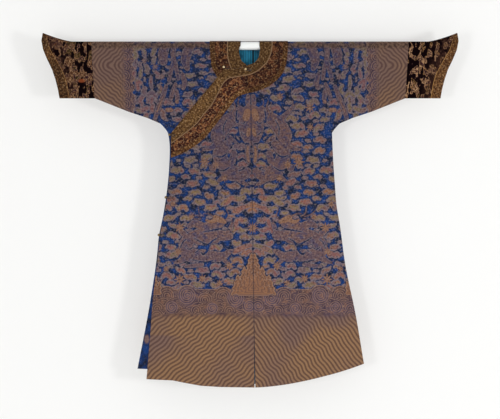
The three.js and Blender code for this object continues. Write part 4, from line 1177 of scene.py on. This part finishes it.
def cuffPoints(sign, downs, angles, side, share, level):
    # Front and back drop straight from the round top; the top's radius and height change along the sleeve
    rise = np.clip((share - cuff["riseFrom"]) / (1 - cuff["riseFrom"]), 0, 1) ** cuff["risePower"]
    middle = rise * tipMiddle
    radius = lerp(robe["lapRadius"], cuff["mouthLap"], rise)
    overTop = np.where(side == 0, np.sin(angles), 0)
    height = lerp(tipMiddle, cuff["bottom"], downs) + cuff["mouthLap"] * overTop
    seamX = lerp(robe["cuffSeamTop"], robe["cuffSeamBottom"], downs) + robe["seamGap"] / 2
    x = sign * lerp(seamX, straight(cuffMouth, height), share)
    out = radius + level
    atSeam = halfDepth(sign * seamX + 0 * share, downs * cuff["bottom"] + 0 * share,
                       np.where(side > 0, 1, -1))
    atMouth = (robe["seamHalf"] + (cuff["mouthLap"] - robe["seamHalf"]) * (1 - downs**3)
               + cuff["mouthSwell"] * np.sin(np.pi * downs))
    y = np.where(side == 0, -out * np.cos(angles), side * (lerp(atSeam, atMouth, share) + level))
    z = np.where(side == 0, middle + out * np.sin(angles), lerp(middle, cuff["bottom"], downs))
    return np.stack([x, y, z], -1) * mm


def trimShare(downs):
    # Where the trim's inner line lies, as a share of the way from the sleeve's seam to the mouth
    height = lerp(tipMiddle, cuff["bottom"], downs)
    seamX = lerp(robe["cuffSeamTop"], robe["cuffSeamBottom"], downs)
    return (straight(trimLine, height) - seamX) / (straight(cuffMouth, height) - seamX)


rows = cuffRows(cuff["rowsDown"], cuff["rowsOver"])
trimAt = trimShare(rows[0])
half = robe["seamGap"] / 2 / (cuffMouth[0][1] - robe["cuffSeamTop"])
for sideName, sign in (("left", 1), ("right", -1)):
    for part, first, last, cols, material, slot in (
        ("Cuff", 0 * trimAt, trimAt - half, cuff["columns"], cuffSilk, "band"),
        ("CuffTrim", trimAt + half, 0 * trimAt + 1, cuff["trimColumns"], edging, "edging"),
    ):
        isTrim = part == "CuffTrim"
        share = lerp(first, last, np.linspace(0, 1, cols + 1)[None])
        outerGrid = cuffPoints(sign, *rows, share, robe["wall"] + 0 * share)
        # Past the rod's end the inner face keeps back below the round top, to stay inside the turn there
        backBy = cuff["keepBack"] * np.exp(-8 * rows[0]) * soft(0.33, 0.37, share)
        innerGrid = cuffPoints(sign, *rows, share, -backBy)[::2, ::2]
        points, groups = closedShell(outerGrid, innerGrid, np.ones((len(trimAt) - 1, cols), bool))
        flat = np.concatenate([grid[..., [0, 2, 1]].reshape(-1, 3) for grid in (outerGrid, innerGrid)])
        across = share + 0 * rows[0]
        across = np.concatenate([across.ravel(), across[::2, ::2].ravel()])
        column = (np.arange(cols + 1) == 0) + 0 * outerGrid[..., 0]
        inner = np.concatenate([column.ravel(), column[::2, ::2].ravel()])  # the trim's bright inner edge, a painted highlight
        # The wearer's left shines more, in painted light, and a trim most below its tip; the right has one
        # orange figure
        sideways, height = flat[:, 0] / mm, flat[:, 1] / mm
        glow = 0.6 * np.exp(-((height + 34) / 24) ** 2) - 0.4 * soft(-5, 30, height)
        shine = (0.1 if sign < 0 else 0.85) + glow + 2.4 * inner if isTrim else 0.8 + 0.2 * sign
        ember = np.exp(-((sideways + 680) / 17) ** 2 - ((height + 142) / 9) ** 2)
        piece = makePiece(sideName + part, points, groups, (material, lining), (0, 0, 1),
                          {"flat": flat, "share": across, "shine": shine + 0 * across, "ember": ember})
        node = f"{sideName}_cuff" + ("_trim" if isTrim else "")
        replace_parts(piece, node)
print("cuffs made")

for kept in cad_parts["rod"].material_slots:
    kept.material = paint

# Gilt balls on shanks, chased with petals, and twisted cord loops round them
faceLevels = {"collar": 6.7, "rightCollar": 3.5, "overlap": 4.8, "flap": 1.6}
fastening = {
    "radius": 5.5, "shank": 1.4, "shankLength": 2.9, "cord": 1.1, "cordGap": 0.45, "gap": 0.3,
    "ballRows": 40, "ballTurns": 48, "cordRows": 150, "cordTurns": 14,
}
# Across, height, what the foot stands on, the loop's reach, and what the loop lies on
fastenings = {
    "neck": (-18, -97, "collar", 26, "collar"), "lapel": (-106, -88, "rightCollar", 24, "collar"),
    "underarm": (-325, -360, "flap", 24, "collar"), "upperSide": (-340, -613, "flap", 32, "overlap"),
    "lowerSide": (-368, -765, "flap", 28, "overlap"),
}


def faceAt(x, z, on):
    # Depth of the outer face of the layer that a button or loop lies on
    return -(halfDepth(np.asarray(x, float), np.asarray(z, float), -1) + faceLevels[on])


def ringGroups(rows, turns):
    # Four-cornered faces between closed rings of spots, and a fan at either end from a last spot each
    i, j = np.meshgrid(np.arange(rows - 1), np.arange(turns), indexing="ij")
    after = (j + 1) % turns
    sides = np.stack([i * turns + j, i * turns + after, (i + 1) * turns + after, (i + 1) * turns + j], -1)
    ring = np.arange(turns)
    first = np.stack([np.full(turns, rows * turns), (ring + 1) % turns, ring], 1)
    last = (rows - 1) * turns
    final = np.stack([np.full(turns, rows * turns + 1), last + ring, last + (ring + 1) % turns], 1)
    return [sides.reshape(-1, 4), first, final]


def ballButton(name, x, z, foot, under, metal):
    # Turned shape along the depth: a foot, a shank and a ball whose middle swells in ten petals
    radius, shank = fastening["radius"], fastening["shank"]
    seat = float(np.min(faceAt([x - shank, x + shank], [z, z], foot))) - fastening["gap"]
    centre = float(faceAt(x, z, under)) - fastening["gap"] - fastening["shankLength"] - radius
    angle = np.linspace(np.arcsin(shank / radius), np.pi - 0.06, fastening["ballRows"])
    around = np.linspace(0, 2 * np.pi, fastening["ballTurns"], endpoint=False)[None]
    out = np.concatenate([[0.6, shank * 0.98, shank, shank], radius * np.sin(angle)])[:, None]
    stem = [seat, seat, seat - 0.3, lerp(seat, centre, 0.4)]
    depth = np.concatenate([stem, centre + radius * np.cos(angle)])[:, None]
    ball = np.concatenate([np.zeros(4), np.sin(angle) ** 2])[:, None]
    petals = 0.16 * np.abs(np.sin(5 * around)) + 0.1 * (np.abs(np.cos(3 * np.pi * depth / radius)) > 0.8)
    out = out * (1 - 0.07 * ball * (1 - petals * 5) * (petals < 0.2)) + 0 * around
    points = np.stack([x + out * np.cos(around), depth + 0 * around, z + out * np.sin(around)], -1)
    points = np.concatenate([points.reshape(-1, 3), [[x, seat, z], [x, centre - radius, z]]]) * mm
    groups = ringGroups(len(depth), fastening["ballTurns"])
    return makePiece(name, points, groups, (metal,), (0, 0, 0), {})


def cordLoop(name, x, z, reach, under):
    # Two legs and a half turn round the shank; the cord's own two strands twist along it
    half = fastening["shank"] + fastening["cord"] + 2 * fastening["gap"]
    legs = [(x + out, z + side * half - 3 * out / reach) for side, out in ((1, reach), (1, reach / 2))]
    turn = np.pi / 2 + np.pi * np.arange(5) / 4
    bend = [(x + half * np.cos(a), z + half * np.sin(a)) for a in turn]
    back = [(x + out, z - half - 3 * out / reach) for out in (reach / 2, reach)]
    route = np.array(legs + bend + back, float)
    key = np.concatenate([[0], np.cumsum(np.hypot(*np.diff(route, axis=0).T))])
    at = np.linspace(0, key[-1], fastening["cordRows"])
    path = np.stack([smooth(np.stack([key, route[:, k]], 1), at) for k in range(2)], 1)
    y = faceAt(path[:, 0], path[:, 1], under) - fastening["cordGap"] - fastening["cord"]
    along = np.gradient(path, axis=0)
    along /= np.hypot(*along.T)[:, None]
    around = np.linspace(0, 2 * np.pi, fastening["cordTurns"], endpoint=False)[None]
    girth = fastening["cord"] * (0.84 + 0.14 * np.cos(2 * around - 2.4 * at[:, None]))
    side = girth * np.cos(around)
    points = np.stack([path[:, :1] - side * along[:, 1:], y[:, None] + girth * np.sin(around),
                       path[:, 1:] + side * along[:, :1]], -1).reshape(-1, 3)
    ends = [[path[k, 0], y[k], path[k, 1]] for k in (0, -1)]
    points = np.concatenate([points, ends]) * mm
    groups = ringGroups(fastening["cordRows"], fastening["cordTurns"])
    return makePiece(name, points, groups, (darkCord,), (0, 0, 0), {})


for name, (x, z, foot, reach, under) in fastenings.items():
    node = {"upperSide": "upper_side", "lowerSide": "lower_side"}.get(name, name)
    metal = gilt if name in ("neck", "lapel") else darkGilt
    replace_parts(ballButton(name + "Button", x, z, foot, under, metal), node + "_button")
    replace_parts(cordLoop(name + "Loop", x, z, reach, under), node + "_loop")
print("buttons and loops made")

# Floor, wall and lights of the studio, and the camera straight in front
studio = {
    "wall": 0.13, "glow": 0.4, "floor": -1.62, "cameraDistance": 6.0, "faceForward": 0.02, "sensor": 36,
    "frameWidth": 2.0175, "middle": -0.662, "worldStrength": 0.74, "aim": (0, 0, -0.7),
}
# Lamps as place, size and power
lamps = {
    "keyLight": ((4.2, -4.9, -0.9), 0.8, 104),
    "fillLight": ((-2.2, -5.6, -0.9), 0.8, 56),
    "backLight": ((-1.4, 6, 2), 3, 170),
}
pale = Nodes("paleWall")
pale.shader.inputs["Base Color"].default_value = (0.5, 0.5, 0.497, 1)
pale.shader.inputs["Roughness"].default_value = 0.95
pale.shader.inputs["Emission Color"].default_value = (1, 1, 0.99, 1)
pale.shader.inputs["Emission Strength"].default_value = studio["glow"]
# A view from behind sees through the wall, and the lamp behind it shines through
clear = pale.add("BsdfTransparent")
behind = pale.math("MAXIMUM", pale.add("NewGeometry", None, None, "Backfacing"),
                   pale.add("LightPath", None, None, "Is Shadow Ray"))
seen = pale.add("MixShader", None, {0: behind, 1: pale.shader.outputs[0], 2: clear})
pale.tree.links.new(seen, pale.tree.nodes["Material Output"].inputs["Surface"])


def stagePlane(name, corners):
    mesh = bpy.data.meshes.new(name)
    mesh.from_pydata(corners, [], [(0, 1, 2, 3)])
    mesh.materials.append(pale.material)
    newObject(name, mesh)


low, back = studio["floor"], studio["wall"]
stagePlane("floorPlane", [(-6, -8, low), (6, -8, low), (6, 8, low), (-6, 8, low)])
stagePlane("wallPlane", [(-6, back, low), (6, back, low), (6, back, 4), (-6, back, 4)])


bpy.context.scene.view_settings.view_transform = "Standard"
for name, (spot, size, power) in lamps.items():
    data = bpy.data.lights.new(name, "AREA")
    data.shape, data.size, data.energy = "SQUARE", size, power
    light = newObject(name, data)
    light.location = spot
    light.rotation_mode = "QUATERNION"
    light.rotation_quaternion = (Vector(studio["aim"]) - Vector(spot)).to_track_quat("-Z", "Y")
world = bpy.data.worlds.new("paleStudio")
world.use_nodes = True
world.node_tree.nodes["Background"].inputs[0].default_value = (1, 1, 0.985, 1)
world.node_tree.nodes["Background"].inputs[1].default_value = studio["worldStrength"]
bpy.context.scene.world = world

cameraData = bpy.data.cameras.new("photoCamera")
cameraData.sensor_width = studio["sensor"]
cameraData.lens = studio["sensor"] * (studio["cameraDistance"] - studio["faceForward"]) / studio["frameWidth"]
camera = newObject("photoCamera", cameraData)
camera.location = (0, -studio["cameraDistance"], studio["middle"])
camera.rotation_euler = (np.pi / 2, 0, 0)
bpy.context.scene.camera = camera
